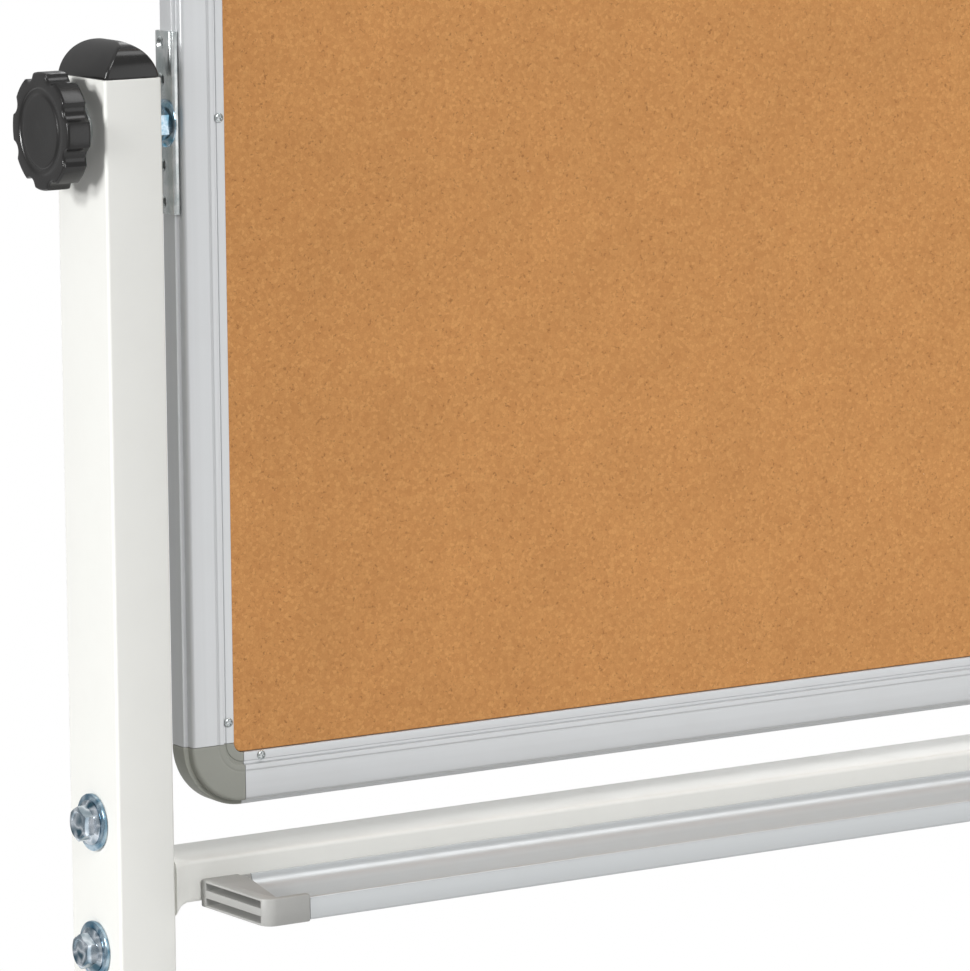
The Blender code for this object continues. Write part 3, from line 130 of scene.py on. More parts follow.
def rings(profile, count=48):
    """Return the level circles of (radius, height) points."""
    return [ring(radius, height, count) for radius, height in profile]


def stepped(width, height, radius, plane, levels, centre=(0.0, 0.0), steps=8):
    """Return a rounded rectangle's loops at (depth, inset) levels."""
    return [flat(rectangle(width - 2 * inset, height - 2 * inset, max(radius - inset, 0.8), centre, steps),
                 plane, depth) for depth, inset in levels]


def clear_selection():
    """Leave nothing selected."""
    bpy.ops.object.select_all(action="DESELECT")


def select_only(piece):
    """Select one piece and make it the active one."""
    clear_selection()
    piece.select_set(True)
    bpy.context.view_layer.objects.active = piece


def face_outwards():
    """Turn every face outwards and leave edit mode."""
    bpy.ops.mesh.select_all(action="SELECT")
    bpy.ops.mesh.normals_make_consistent(inside=False)
    bpy.ops.object.mode_set(mode="OBJECT")


def close_up(fill=True):
    """Merge doubled corners, fill open ends, turn every face outwards and leave edit mode."""
    bpy.ops.mesh.select_all(action="SELECT")
    bpy.ops.mesh.remove_doubles(threshold=0.000004)
    if fill:
        bpy.ops.mesh.fill_holes(sides=0)
    face_outwards()


def draw_line(name, places):
    """Draw an open line through the places, corner by corner, and stay in edit mode."""
    clear_selection()
    bpy.ops.mesh.primitive_plane_add(size=0.001)
    piece = bpy.context.object
    piece.name = name
    bpy.ops.object.mode_set(mode="EDIT")
    bpy.ops.mesh.merge(type="CENTER")
    bpy.ops.transform.translate(value=places[0])
    for start, end in zip(places, places[1:]):
        bpy.ops.mesh.extrude_vertices_move(TRANSFORM_OT_translate={"value": end - start})
    bpy.ops.mesh.select_all(action="SELECT")
    return piece


def draw_loop(name, places, fill_type="NOTHING"):
    """Draw a closed loop, stay in edit mode, and return the piece and the number of each place."""
    clear_selection()
    bpy.ops.mesh.primitive_circle_add(vertices=len(places), radius=0.01, fill_type=fill_type)
    piece = bpy.context.object
    piece.name = name
    bpy.ops.object.mode_set(mode="EDIT")
    shape = bmesh.from_edit_mesh(piece.data)
    shape.verts.ensure_lookup_table()
    order = {}
    for number, corner in enumerate(shape.verts):
        corner.co = places[number]
        order[tuple(corner.co)] = number
    bpy.ops.mesh.select_all(action="SELECT")
    return piece, order


def loft(name, loops):
    """Grow a piece from a loop, which is extruded to each next loop."""
    piece, order = draw_loop(name, loops[0])
    for loop in loops[1:]:
        bpy.ops.mesh.extrude_edges_indiv()
        shape = bmesh.from_edit_mesh(piece.data)
        placed = {}
        for corner in shape.verts:
            if corner.select:
                number = order[tuple(corner.co)]
                corner.co = loop[number]
                placed[tuple(corner.co)] = number
        order = placed
    close_up()
    return piece


def prism(name, outline, plane, start, end):
    """Extrude a flat outline from one depth to another."""
    return loft(name, [flat(outline, plane, start), flat(outline, plane, end)])


def turned(name, profile, steps=48):
    """Turn a line of (radius, height) points about Z."""
    piece = draw_line(name, flat(profile, "XZ"))
    bpy.ops.mesh.spin(steps=steps, angle=math.tau, center=(0, 0, 0), axis=(0, 0, 1))
    close_up(False)
    return piece


def apply_modifier(piece, kind, **settings):
    """Add a modifier to a piece and apply it."""
    select_only(piece)
    modifier = piece.modifiers.new(kind.lower(), kind)
    for name, value in settings.items():
        setattr(modifier, name, value)
    bpy.ops.object.modifier_apply(modifier=modifier.name)


def soften(piece, width, segments=2, angle=40):
    """Round the sharp edges of a piece."""
    apply_modifier(piece, "BEVEL", width=width / 1000, segments=segments, limit_method="ANGLE",
                   angle_limit=math.radians(angle))


def carve(piece, *cutters):
    """Take each cutter's shape out of a piece."""
    for cutter in cutters:
        apply_modifier(piece, "BOOLEAN", operation="DIFFERENCE", solver="EXACT", object=cutter)
        bpy.data.objects.remove(cutter, do_unlink=True)


def finish(piece, body, look, nodes=(), angle=35):
    """Settle a piece at the origin, smooth it, give it its finish and hang it on its body."""
    select_only(piece)
    bpy.ops.object.transform_apply(location=True, rotation=True, scale=True)
    bpy.ops.object.shade_smooth_by_angle(angle=math.radians(angle))
    piece.data.materials.clear()
    piece.data.materials.append(FINISH[look])
    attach(piece, body)
    if nodes:
        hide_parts(*nodes)


def set_out(pattern, look, spots, angle=35):
    """Copy a piece to its spots, each (name, body, nodes, matrix), finish the copies and drop the pattern."""
    for name, body, nodes, matrix in spots:
        select_only(pattern)
        bpy.ops.object.duplicate(linked=False)
        copy = bpy.context.object
        copy.name = name
        copy.matrix_world = matrix
        bpy.ops.object.transform_apply(location=True, rotation=True, scale=True)
        if matrix.determinant() < 0:
            bpy.ops.object.mode_set(mode="EDIT")
            face_outwards()
        finish(copy, body, look, nodes, angle)
    bpy.data.objects.remove(pattern, do_unlink=True)


# Places

def outward(side, x, y, z):
    """Return the placing that points a piece's own Z away from the board's middle."""
    return Matrix.Translation(mm(side * x, y, z)) @ Matrix.Rotation(side * math.pi / 2, 4, "Y")


def mirrored(side):
    """Return the placing that keeps a right-hand piece or mirrors it to the left."""
    return Matrix.Diagonal((side, 1, 1, 1))


def at_post(side):
    """Return the placing that carries a piece to the middle of a post."""
    return Matrix.Translation(mm(side * POST_MIDDLE, 0, 0))


def turned_round(end):
    """Return the turn of a piece at the front or the back."""
    return Matrix.Rotation(math.pi if end < 0 else 0, 4, "Z")


def body_at(body, where):
    """Return a body's full name. Only the stand and the board have none at each place."""
    return body if body in ("stand", "board") else f"{body}_{where}"


def pair(name, body, node, place=mirrored):
    """Return the left and the right spot of a piece. Place gives the placing on a side."""
    return [(f"{name}_{word}", body_at(body, word), [f"{node}_{word}"], place(side)) for word, side in SIDES]


def foot_spots(name, body, node, reach=CASTER_REACH, end_place=Matrix.Identity(4)):
    """Return a piece's four spots along the feet. Those in front are turned round."""
    spots = []
    for word, side in SIDES:
        for end_word, end in ENDS:
            where = f"{end_word}_{word}"
            place = Matrix.Translation(mm(side * POST_MIDDLE, end * reach, 0)) @ turned_round(end) @ end_place
            spots.append((f"{name}_{where}", body_at(body, where), [f"{node}_{where}"], place))
    return spots

# Finishes

def feed(tree, node, inputs):
    """Set or link a node's inputs."""
    for name, value in inputs.items():
        if isinstance(value, bpy.types.NodeSocket):
            tree.links.new(value, node.inputs[name])
        else:
            node.inputs[name].default_value = value


def put(tree, kind, inputs=None, **settings):
    """Add a shader node with its settings and inputs, and return its outputs."""
    node = tree.nodes.new(kind)
    for name, value in settings.items():
        setattr(node, name, value)
    feed(tree, node, inputs or {})
    return node.outputs


def calc(tree, operation, *values):
    """Return the result of a Math node."""
    return put(tree, "ShaderNodeMath", dict(enumerate(values)), operation=operation)[0]


def noise(tree, place, scale, detail=2.0, roughness=0.5, distortion=0.0):
    """Return the outputs of a noise texture."""
    return put(tree, "ShaderNodeTexNoise", {"Vector": place, "Scale": scale, "Detail": detail,
                                            "Roughness": roughness, "Distortion": distortion})


def remap(tree, value, low, high, start=0.0, end=1.0):
    """Return a value moved from one range into another."""
    return put(tree, "ShaderNodeMapRange", {"Value": value, "From Min": low, "From Max": high,
                                            "To Min": start, "To Max": end})["Result"]


def blend_colours(tree, factor, first, second):
    """Return a mixture of two colours. 6, 7 and 2 are the Mix node's colour sockets."""
    return put(tree, "ShaderNodeMix", {"Factor": factor, 6: first, 7: second}, data_type="RGBA")[2]


def ramp(tree, factor, stops):
    """Return the colour of a ramp with (position, colour) stops."""
    node = tree.nodes.new("ShaderNodeValToRGB")
    feed(tree, node, {"Fac": factor})
    elements = node.color_ramp.elements
    while len(elements) < len(stops):
        elements.new(0.5)
    for element, (position, colour) in zip(elements, stops):
        element.position = position
        element.color = (*colour, 1.0)
    return node.outputs["Color"]


def new_group(name, takes, gives):
    """Start a shader group. Takes holds the inputs with their values, None for a vector."""
    group = bpy.data.node_groups.new(name, "ShaderNodeTree")
    for label, value in takes.items():
        kind = "Vector" if value is None else "Color" if isinstance(value, tuple) else "Float"
        socket = group.interface.new_socket(name=label, in_out="INPUT", socket_type="NodeSocket" + kind)
        if value is not None:
            socket.default_value = value
    for label in gives:
        kind = "Color" if label == "Colour" else "Float"
        group.interface.new_socket(name=label, in_out="OUTPUT", socket_type="NodeSocket" + kind)
    return group, group.nodes.new("NodeGroupInput").outputs, group.nodes.new("NodeGroupOutput")


def grain_group():
    """Fine bumps of moulded plastic or of powder coat, with a slow swell below them."""
    group, takes, gives = new_group("fine_grain", {"Vector": None, "Size": 1.0}, ["Height"])
    scale = calc(group, "DIVIDE", 1000.0, takes["Size"])
    fine = noise(group, takes["Vector"], scale, 3.0, 0.6)
    swell = noise(group, takes["Vector"], calc(group, "MULTIPLY", scale, 0.17))
    height = put(group, "ShaderNodeMix", {"Factor": 0.3, "A": fine["Fac"], "B": swell["Fac"]})
    feed(group, gives, {"Height": height["Result"]})
    return group


def drift_group():
    """Slow changes of a colour over a surface, as one batch of a finish shows."""
    group, takes, gives = new_group(
        "tone_drift", {"Vector": None, "Colour": GREY, "Size": 60.0, "Amount": 0.03}, ["Colour"])
    scale = calc(group, "DIVIDE", 1000.0, takes["Size"])
    centred = calc(group, "SUBTRACT", noise(group, takes["Vector"], scale, 4.0, 0.55)["Fac"], 0.5)
    swing = calc(group, "MULTIPLY", takes["Amount"], 4.0)
    value = calc(group, "MULTIPLY_ADD", centred, swing, 1.0)
    tint = put(group, "ShaderNodeHueSaturation", {"Value": value, "Color": takes["Colour"]})
    feed(group, gives, {"Colour": tint["Color"]})
    return group


def dust_group():
    """Thin dust and finger smears: paler and rougher patches, more of them on faces that look up."""
    group, takes, gives = new_group(
        "handling_dust", {"Vector": None, "Normal": None, "Colour": GREY, "Roughness": 0.4, "Amount": 0.2},
        ["Colour", "Roughness"])
    patches = remap(group, noise(group, takes["Vector"], 38.0, 6.0, 0.65)["Fac"], 0.45, 0.75)
    facing = put(group, "ShaderNodeSeparateXYZ", {"Vector": takes["Normal"]})
    mask = calc(group, "MULTIPLY", patches, remap(group, facing["Z"], 0.0, 1.0, 0.35))
    amount = calc(group, "MULTIPLY", mask, takes["Amount"])
    rough = put(group, "ShaderNodeMix", {"Factor": amount, "A": takes["Roughness"], "B": 0.85})
    feed(group, gives, {"Colour": blend_colours(group, amount, takes["Colour"], (0.55, 0.53, 0.49, 1.0)),
                        "Roughness": rough["Result"]})
    return group


def edge_group():
    """Edges rubbed paler by handling."""
    group, takes, gives = new_group(
        "rubbed_edges", {"Vector": None, "Colour": GREY, "Rubbed": (0.7, 0.7, 0.7, 1), "Amount": 0.5},
        ["Colour"])
    edge = remap(group, put(group, "ShaderNodeNewGeometry")["Pointiness"], 0.53, 0.60)
    patchy = calc(group, "MULTIPLY", edge, noise(group, takes["Vector"], 240.0, 4.0)["Fac"])
    amount = calc(group, "MULTIPLY", patchy, takes["Amount"])
    feed(group, gives, {"Colour": blend_colours(group, amount, takes["Colour"], takes["Rubbed"])})
    return group


def lines_group():
    """Die lines of an extrusion, from coordinates squeezed along the lines."""
    group, takes, gives = new_group("drawn_lines", {"Vector": None, "Size": 0.3}, ["Height"])
    fine = noise(group, takes["Vector"], calc(group, "DIVIDE", 1000.0, takes["Size"]))
    feed(group, gives, {"Height": fine["Fac"]})
    return group


GROUPS = {"grain": grain_group(), "drift": drift_group(), "dust": dust_group(), "edges": edge_group(),
          "lines": lines_group()}


def start_material(name, roughness, metallic=0.0, specular=0.5):
    """Start a Principled material and return it with its tree, shader and coordinates."""
    material = bpy.data.materials.new(name)
    material.use_nodes = True
    tree = material.node_tree
    shader = tree.nodes["Principled BSDF"]
    feed(tree, shader, {"Roughness": roughness, "Metallic": metallic, "Specular IOR Level": specular})
    return material, tree, shader, put(tree, "ShaderNodeTexCoord")


def place_group(tree, key, inputs):
    """Place one of the shared groups in a material and return its outputs."""
    return put(tree, "ShaderNodeGroup", inputs, node_tree=GROUPS[key])


def drifting(tree, place, colour, size, amount):
    """Return a colour that drifts slowly. Size is in millimetres."""
    return place_group(tree, "drift", {"Vector": place, "Colour": colour, "Size": size,
                                       "Amount": amount})["Colour"]


def wear(tree, shader, coords, colour, roughness, amount):
    """Lead a colour and a roughness into the shader, with dust over both."""
    worn = place_group(tree, "dust", {"Vector": coords["Object"], "Normal": coords["Normal"],
                                      "Colour": colour, "Roughness": roughness, "Amount": amount})
    feed(tree, shader, {"Base Color": worn["Colour"], "Roughness": worn["Roughness"]})


def bump(tree, shader, height, depth, strength=1.0):
    """Lead a height into the shader's normal. Depth is in millimetres."""
    raised = put(tree, "ShaderNodeBump", {"Height": height, "Distance": depth / 1000, "Strength": strength})
    feed(tree, shader, {"Normal": raised["Normal"]})


def grained(tree, shader, place, size, depth):
    """Give a shader the fine grain. Size and depth are in millimetres."""
    bump(tree, shader, place_group(tree, "grain", {"Vector": place, "Size": size})["Height"], depth)


def coated(name, colour, roughness, grain, depth, drift=0.02, dust=0.25, rubbed=None, specular=0.5):
    """Paint or plastic: a drifting colour, rubbed edges, thin dust and a fine grain."""
    material, tree, shader, coords = start_material(name, roughness, specular=specular)
    place = coords["Object"]
    shade = drifting(tree, place, (*colour, 1), 90.0, drift)
    if rubbed:
        shade = place_group(tree, "edges", {"Vector": place, "Colour": shade, "Rubbed": (*rubbed, 1),
                                            "Amount": 0.6})["Colour"]
    wear(tree, shader, coords, shade, roughness, dust)
    grained(tree, shader, place, grain, depth)
    return material


def extruded(name, colour, along, roughness=0.36, metallic=0.5):
    """Satin anodised aluminium with die lines along one axis."""
    material, tree, shader, coords = start_material(name, roughness, metallic)
    squeeze = [1.0, 1.0, 1.0]
    squeeze[along] = 0.004
    lay = put(tree, "ShaderNodeMapping", {"Vector": coords["Object"], "Scale": squeeze})["Vector"]
    wear(tree, shader, coords, drifting(tree, lay, (*colour, 1), 5.0, 0.035), roughness, 0.12)
    bump(tree, shader, place_group(tree, "lines", {"Vector": lay, "Size": 0.35})["Height"], 0.010, 0.35)
    return material


def zinc_plate(name, cool, warm, roughness, patches, detail=3.0):
    """Bright zinc with the blue and straw tints of its passivation. Where the tints are set very dark or far
    apart, as for washers and bolts, the patches also paint dark reflections and bright highlights.
    """
    material, tree, shader, coords = start_material(name, roughness, 0.85)
    # Patches of passivation tint; with very dark and very light tints they also paint reflections and
    # highlights.
    film_and_reflection_patches = noise(tree, coords["Object"], patches, detail)["Fac"]
    middle = [(a + b) / 2 for a, b in zip(cool, warm)]
    tint = ramp(tree, film_and_reflection_patches, [(0.30, cool), (0.48, middle), (0.56, warm), (0.70, cool)])
    wear(tree, shader, coords, tint, roughness, 0.18)
    grained(tree, shader, coords["Object"], 0.9, 0.01)
    return material


def cork_finish():
    """Pressed cork: small irregular granules in several tans, with dark bark flecks and pale chips."""
    material, tree, shader, coords = start_material("pressed_cork", 0.88, specular=0.25)
    place = coords["Object"]
    shift = put(tree, "ShaderNodeVectorMath", {0: noise(tree, place, 900.0)["Color"],
                                               1: (0.0012, 0.0012, 0.0012)}, operation="MULTIPLY")
    bent = put(tree, "ShaderNodeVectorMath", {0: place, 1: shift["Vector"]}, operation="ADD")["Vector"]
    cells = put(tree, "ShaderNodeTexVoronoi", {"Vector": bent, "Scale": 540.0})
    seams = put(tree, "ShaderNodeTexVoronoi", {"Vector": bent, "Scale": 540.0},
                feature="DISTANCE_TO_EDGE")["Distance"]
    chips = put(tree, "ShaderNodeTexVoronoi", {"Vector": bent, "Scale": 310.0})
    pick = put(tree, "ShaderNodeSeparateColor", {"Color": cells["Color"]})
    tan = ramp(tree, pick["Red"], [(0.0, (0.560, 0.256, 0.086)), (0.35, (0.605, 0.286, 0.097)),
                                   (0.70, (0.628, 0.303, 0.104)), (1.0, (0.672, 0.336, 0.119))])
    joint = blend_colours(tree, remap(tree, seams, 0.0, 0.12, 0.35, 0.0),
                          drifting(tree, place, tan, 45.0, 0.05), (0.48, 0.205, 0.066, 1.0))
    flecks = noise(tree, place, 450.0, 3.0, 0.6)["Fac"]
    bark = blend_colours(tree, remap(tree, flecks, 0.61, 0.71, 0.0, 0.55), joint, (0.26, 0.10, 0.034, 1.0))
    rare = put(tree, "ShaderNodeSeparateColor", {"Color": chips["Color"]})
    pale = calc(tree, "GREATER_THAN", rare["Green"], 0.945)
    core = calc(tree, "LESS_THAN", chips["Distance"], 0.34)
    weak = calc(tree, "MULTIPLY", calc(tree, "MULTIPLY", pale, core), 0.75)
    feed(tree, shader, {"Base Color": blend_colours(tree, weak, bark, (0.86, 0.62, 0.37, 1.0))})
    bump(tree, shader, calc(tree, "SUBTRACT", seams, flecks), 0.22, 0.6)
    return material


def fibre_finish():
    """Raw fibreboard: short pressed fibres in dull browns."""
    material, tree, shader, coords = start_material("raw_fibreboard", 0.9, specular=0.2)
    fibres = noise(tree, coords["Object"], 700.0, 5.0, 0.7, 1.2)["Fac"]
    brown = ramp(tree, fibres, [(0.3, (0.24, 0.15, 0.08)), (0.5, (0.36, 0.25, 0.14)),
                                (0.7, (0.48, 0.35, 0.22))])
    feed(tree, shader, {"Base Color": drifting(tree, coords["Object"], brown, 30.0, 0.04)})
    bump(tree, shader, fibres, 0.15)
    return material


def enamel_finish():
    """Glossy white writing enamel with the faint grey haze that wiped marker ink leaves."""
    material, tree, shader, coords = start_material("white_writing_enamel", 0.1)
    lay = put(tree, "ShaderNodeMapping", {"Vector": coords["Object"], "Scale": (1.0, 1.0, 2.6)})
    haze = noise(tree, lay["Vector"], 4.5, 7.0, 0.6, 0.7)["Fac"]
    colour = ramp(tree, haze, [(0.35, (0.83, 0.84, 0.84)), (0.60, (0.80, 0.81, 0.82)),
                               (0.75, (0.76, 0.77, 0.79))])
    feed(tree, shader, {"Base Color": colour, "Roughness": remap(tree, haze, 0.3, 0.8, 0.07, 0.22)})
    grained(tree, shader, coords["Object"], 6.0, 0.008)
    return material


FINISH = {
    "powder_coat": coated("warm_white_powder_coat", (0.79, 0.79, 0.755), 0.42, 1.3, 0.020, drift=0.012,
                          dust=0.16),
    "grey_plastic": coated("corner_plastic", (0.315, 0.320, 0.285), 0.50, 0.5, 0.020, drift=0.03, dust=0.18,
                           rubbed=(0.42, 0.42, 0.38), specular=0.4),
    "pale_grey_plastic": coated("tray_cap_plastic", (0.345, 0.345, 0.332), 0.46, 0.5, 0.016, drift=0.03,
                                dust=0.18, rubbed=(0.62, 0.62, 0.60), specular=0.4),
    "black_plastic": coated("charcoal_plastic", (0.011, 0.0105, 0.0103), 0.22, 0.45, 0.008, drift=0.06,
                            dust=0.02, rubbed=(0.05, 0.05, 0.05), specular=0.45),
    "grey_rubber": coated("wheel_tread", (0.075, 0.077, 0.08), 0.62, 0.7, 0.03, drift=0.08, dust=0.4,
                          specular=0.3),
    "hub_plastic": coated("wheel_hub_plastic", (0.16, 0.165, 0.17), 0.45, 0.5, 0.014, drift=0.04, dust=0.25),
    "upright": extruded("anodised_upright", (0.60, 0.612, 0.622), 2),
    "level": extruded("anodised_level", (0.595, 0.608, 0.618), 0),
    "tray": extruded("anodised_tray", (0.515, 0.535, 0.545), 0, 0.31, 0.35),
    "zinc": zinc_plate("blue_zinc", (0.07, 0.25, 0.37), (0.50, 0.60, 0.68), 0.15, 140.0),
    # Washer and bolt tints are darker and further apart than the plating alone: painted dark reflections and
    # highlights over the passivation tint.
    "washer": zinc_plate("washer_zinc_and_painted_reflections", (0.015, 0.13, 0.23), (0.44, 0.56, 0.65), 0.13, 110.0, 1.5),
    "bolt": zinc_plate("bolt_zinc_and_painted_reflections", (0.02, 0.09, 0.14), (0.72, 0.78, 0.85), 0.11, 110.0, 1.0),
    "steel": zinc_plate("clear_zinc", (0.42, 0.47, 0.47), (0.62, 0.64, 0.64), 0.22, 85.0),
    "cork": cork_finish(),
    "fibreboard": fibre_finish(),
    "white_steel": enamel_finish(),
}


# Stand

def make_posts():
    """Rectangular tubes with slightly broken cut ends."""
    levels = ((98.3, 0.3), (98.6, 0), (1065.2, 0), (1065.6, 0.35))
    post = loft("post", stepped(32.2, 51.5, 1.7, "XY", levels))
    set_out(post, "powder_coat", pair("tube", "stand", "post", at_post))


def cap_outline(half_width, half_depth, radius, height):
    """Return one level of the post cap."""
    return flat(rectangle(2 * half_width, 2 * half_depth, min(radius, 0.7 * half_width), steps=7), "XY", height)


def make_post_caps():
    """Domed plugs made of two crossed arches, with softly rounded hips between them."""
    loops = [cap_outline(13.9, 23.6, 1.2, 1052.5), cap_outline(14.4, 24.1, 1.2, 1054.0),
             cap_outline(14.4, 24.1, 1.2, 1065.9), cap_outline(15.3, 25.1, 1.9, 1065.9)]
    steps, base, rise = 34, 1066.1, 17.7
    narrow, narrow_power, deep, deep_power = 15.4, 1.46, 25.25, 3.41
    for step in range(steps):
        share = math.sin(math.pi / 2 * step / steps)
        across = narrow * (1 - share ** narrow_power) ** (1 / narrow_power)
        along = deep * (1 - share ** deep_power) ** (1 / deep_power)
        loops.append(cap_outline(across, along, 1.9 - 0.9 * share, base + rise * share))
    cap = loft("cap", loops)
    set_out(cap, "black_plastic", pair("domed_plug", "stand", "post_cap", at_post), angle=60)


def bead_loops():
    """Return the loops of the weld round a crossbar's end, flared at the sides and more so below."""
    loops = []
    for back, side, top, below in ((11.5, -0.3, -0.3, -0.3), (9.5, 0.1, 0.0, 0.3), (7.6, 0.4, 0.2, 1.0),
                                   (6.0, 0.8, 0.4, 2.2), (4.7, 1.3, 0.6, 3.8), (3.7, 1.7, 0.8, 5.2),
                                   (3.0, 2.0, 0.9, 6.0), (2.6, 2.1, 0.9, 6.2)):
        radius, right = BAR_RADIUS + side, BAR_DEPTH / 2 + side
        high, low = BAR_HEIGHT / 2 + top, -BAR_HEIGHT / 2 - below
        corners = [(-right, low, radius), (right, low, radius), (right, high, radius), (-right, high, radius)]
        loops.append(flat(rounded(corners), "YZ", BAR_END - back))
    return loops


def make_crossbars():
    """Rectangular tubes with welded end plates, beads and weld nuts."""
    tube = prism("tube", rectangle(BAR_DEPTH, BAR_HEIGHT, BAR_RADIUS, steps=8), "YZ", 3 - BAR_END, BAR_END - 3)
    plate = loft("plate", stepped(45, 94, 10, "YZ", [(BAR_END - back, inset) for back, inset in (
        (3, 3.9), (2.8, 3.3), (1.4, 1.5), (0.4, 0.1), (0, 0.3))], steps=10))
    bead = loft("bead", bead_loops())
    nut = loft("nut", rings([(hexagon(8.4), 0), (hexagon(9.0), 0.5), (hexagon(9.0), 4.6), (7.9, 5.5),
                             (5.6, 5.5), (5.2, 5.0), (5.2, 3.0)]))
    plates, beads, nuts, tubes = [], [], [], []
    for word, height in BARS:
        node = [f"{word}_crossbar"]
        lift = Matrix.Translation(mm(0, 0, height))
        tubes.append((f"{word}_bar_tube", "stand", node, lift))
        for side_word, side in SIDES:
            plates.append((f"{word}_end_plate_{side_word}", "stand", node, lift @ mirrored(side)))
            beads.append((f"{word}_weld_{side_word}", "stand", node, lift @ mirrored(side)))
            for number, offset in enumerate((BOLT_OFFSET, -BOLT_OFFSET)):
                nuts.append((f"{word}_weld_nut_{number}_{side_word}", "stand", node,
                             outward(-side, 3 - BAR_END, 0, height + offset)))
    for piece, spots in ((tube, tubes), (plate, plates), (bead, beads), (nut, nuts)):
        set_out(piece, "powder_coat", spots)


def hexagon(radius):
    """Return the radius of a hexagon, by angle, from the radius of its corners."""
    def reach(angle):
        off = (angle + math.pi / 6) % (math.pi / 3) - math.pi / 6
        return radius * math.cos(math.pi / 6) / math.cos(math.pi / 6 - abs(off))
    return reach


def chamfer_height(radius, top, start):
    """Return the height of a hexagon head's chamfer, by angle, above the radius where it starts."""
    corner = hexagon(radius)
    return lambda angle: top - max(0.0, corner(angle) - start) * math.tan(math.radians(28))


def threads(low, high, radius, depth=0.55, pitch=1.5):
    """Return the rings of a thread, drawn as close grooves."""
    turns, height = [], low
    while height + pitch <= high:
        turns += rings(((radius - depth, height), (radius, height + pitch * 0.4),
                        (radius, height + pitch * 0.6)))
        height += pitch
    return turns


def make_bolts():
    """Flange washers and hexagon bolts with a dished, ringed head."""
    washer = turned("washer", [(5.2, 0), (14.2, 0), (14.6, 0.15), (14.7, 0.5), (14.7, 1.5), (14.55, 1.95),
                               (14.1, 2.2), (5.2, 2.2), (5.2, 0)], 64)
    top = 9.7
    bolt = loft("bolt", rings([(3.8, -43.6), (4.4, -43.2)]) + threads(-42.9, -31.0, 5.0) + rings([
        (5.0, -30.6), (5.0, 2.2), (10.6, 2.2), (11.3, 2.35), (11.5, 2.8), (11.2, 3.3), (hexagon(9.5), 4.4),
        (hexagon(9.2), 5.0), (hexagon(9.2), chamfer_height(9.2, top, 7.7)), (7.5, top), (6.5, top),
        (6.1, top - 0.15), (5.7, top - 0.7), (5.0, top - 0.85), (2.0, top - 0.6), (0.3, top - 0.55)]))
    washers, bolts = [], []
    for word, height in BARS:
        for side_word, side in SIDES:
            for row, offset in (("top", BOLT_OFFSET), ("bottom", -BOLT_OFFSET)):
                node = [f"{word}_bar_bolt_{row}_{side_word}"]
                spot = outward(side, BOLT_FACE, 0, height + offset)
                washers.append((f"{word}_washer_{row}_{side_word}", "stand", node, spot))
                bolts.append((f"{word}_hex_bolt_{row}_{side_word}", "stand", node, spot))
    set_out(washer, "washer", washers)
    set_out(bolt, "bolt", bolts, angle=28)


def make_feet():
    """Foot tubes and the rounded plugs in their ends."""
    middle = (0, FOOT_MIDDLE)
    foot = loft("foot", stepped(50, 30, 3.2, "XZ", ((-250, 0.3), (-249.6, 0), (249.6, 0), (250, 0.3)), middle))
    set_out(foot, "powder_coat", pair("foot_tube", "stand", "foot", at_post))
    loops = [flat(rectangle(46.4 - 2 * inset, 26.4 - 2 * inset, 1.4, middle), "XZ", y)
             for y, inset in ((238, 0.8), (239, 0), (250.3, 0))]
    loops += stepped(50, 30, 3.2, "XZ", ((250.3, 0.2), (250.6, 0), (251.9, 0), (252.7, 0.45), (253.1, 1.2),
                                         (253.3, 2.6)), middle, 6)
    plug = loft("plug", loops)
    set_out(plug, "black_plastic", foot_spots("foot_plug", "stand", "foot_cap", 0))


# Tray

def trough(steps=18):
    """Return the tray's hollow from its back edge down to its floor."""
    front, length, drop = -52.1, 30.5, TRAY_HIGH - TRAY_FLOOR
    angles = [math.pi / 2 * step / steps for step in range(steps + 1)]
    return [(front + length * math.cos(angle), TRAY_HIGH - drop * math.sin(angle)) for angle in angles]


def make_tray():
    """Aluminium pen tray and the screws that hold its rear flange under the crossbar."""
    low, floor, high, rear = TRAY_LOW, TRAY_FLOOR, TRAY_HIGH, TRAY_REAR
    outline = [(-4.2, low), (-4.2, floor), (rear, floor)]
    outline += rounded([(rear, floor, 0), (rear, high, 0.35), (-21.6, high, 0.35), (-21.65, 654.4, 0)], 4,
                       closed=False)[1:-1]
    outline += trough()[1:]
    outline += rounded([(-60.0, floor, 0), (-79.1, floor, 1.2), (-79.1, 652.0, 0.5), (-77.9, 653.2, 0.3),
                        (-77.9, 654.4, 0.6), (-80.9, 654.4, 1.2), (-80.9, low, 1.4), (-40.0, low, 0)], 5,
                       closed=False)
    tray = prism("tray", outline, "YZ", 0.3 - TRAY_CAP_INNER, TRAY_CAP_INNER - 0.3)
    finish(tray, "stand", "tray", ["tray_profile"], 30)
    screw = pan_screw("tray_screw", 3.2)
    set_out(screw, "steel",
            [(f"tray_screw_{number}", "stand", [],
              Matrix.Translation(mm(x, -11, low)) @ Matrix.Rotation(math.pi, 4, "X"))
             for number, x in enumerate((-400, -133, 133, 400))])

def pan_screw(name, radius):
    """Small round-headed screw with a cross recess, standing on its own Z."""
    rise = radius * 0.42
    profile = [(0.02, rise), (radius * 0.45, rise * 0.96), (radius * 0.75, rise * 0.80),
               (radius * 0.94, rise * 0.48), (radius, rise * 0.12), (radius * 0.97, 0), (radius * 0.5, 0),
               (radius * 0.5, -2.5), (0.02, -2.5)]
    screw = turned(name, profile, 32)
    arm, wide = radius * 0.66, radius * 0.20
    cross = [(arm, -wide), (arm, wide), (wide, wide), (wide, arm), (-wide, arm), (-wide, wide), (-arm, wide),
             (-arm, -wide), (-wide, -wide), (-wide, -arm), (wide, -arm), (wide, -wide)]
    recess = loft(name + "_recess", [flat(cross, "XY", rise + 1), flat(cross, "XY", rise * 0.6),
                                     flat([(u * 0.25, v * 0.25) for u, v in cross], "XY", -1.4)])
    carve(screw, recess)
    return screw


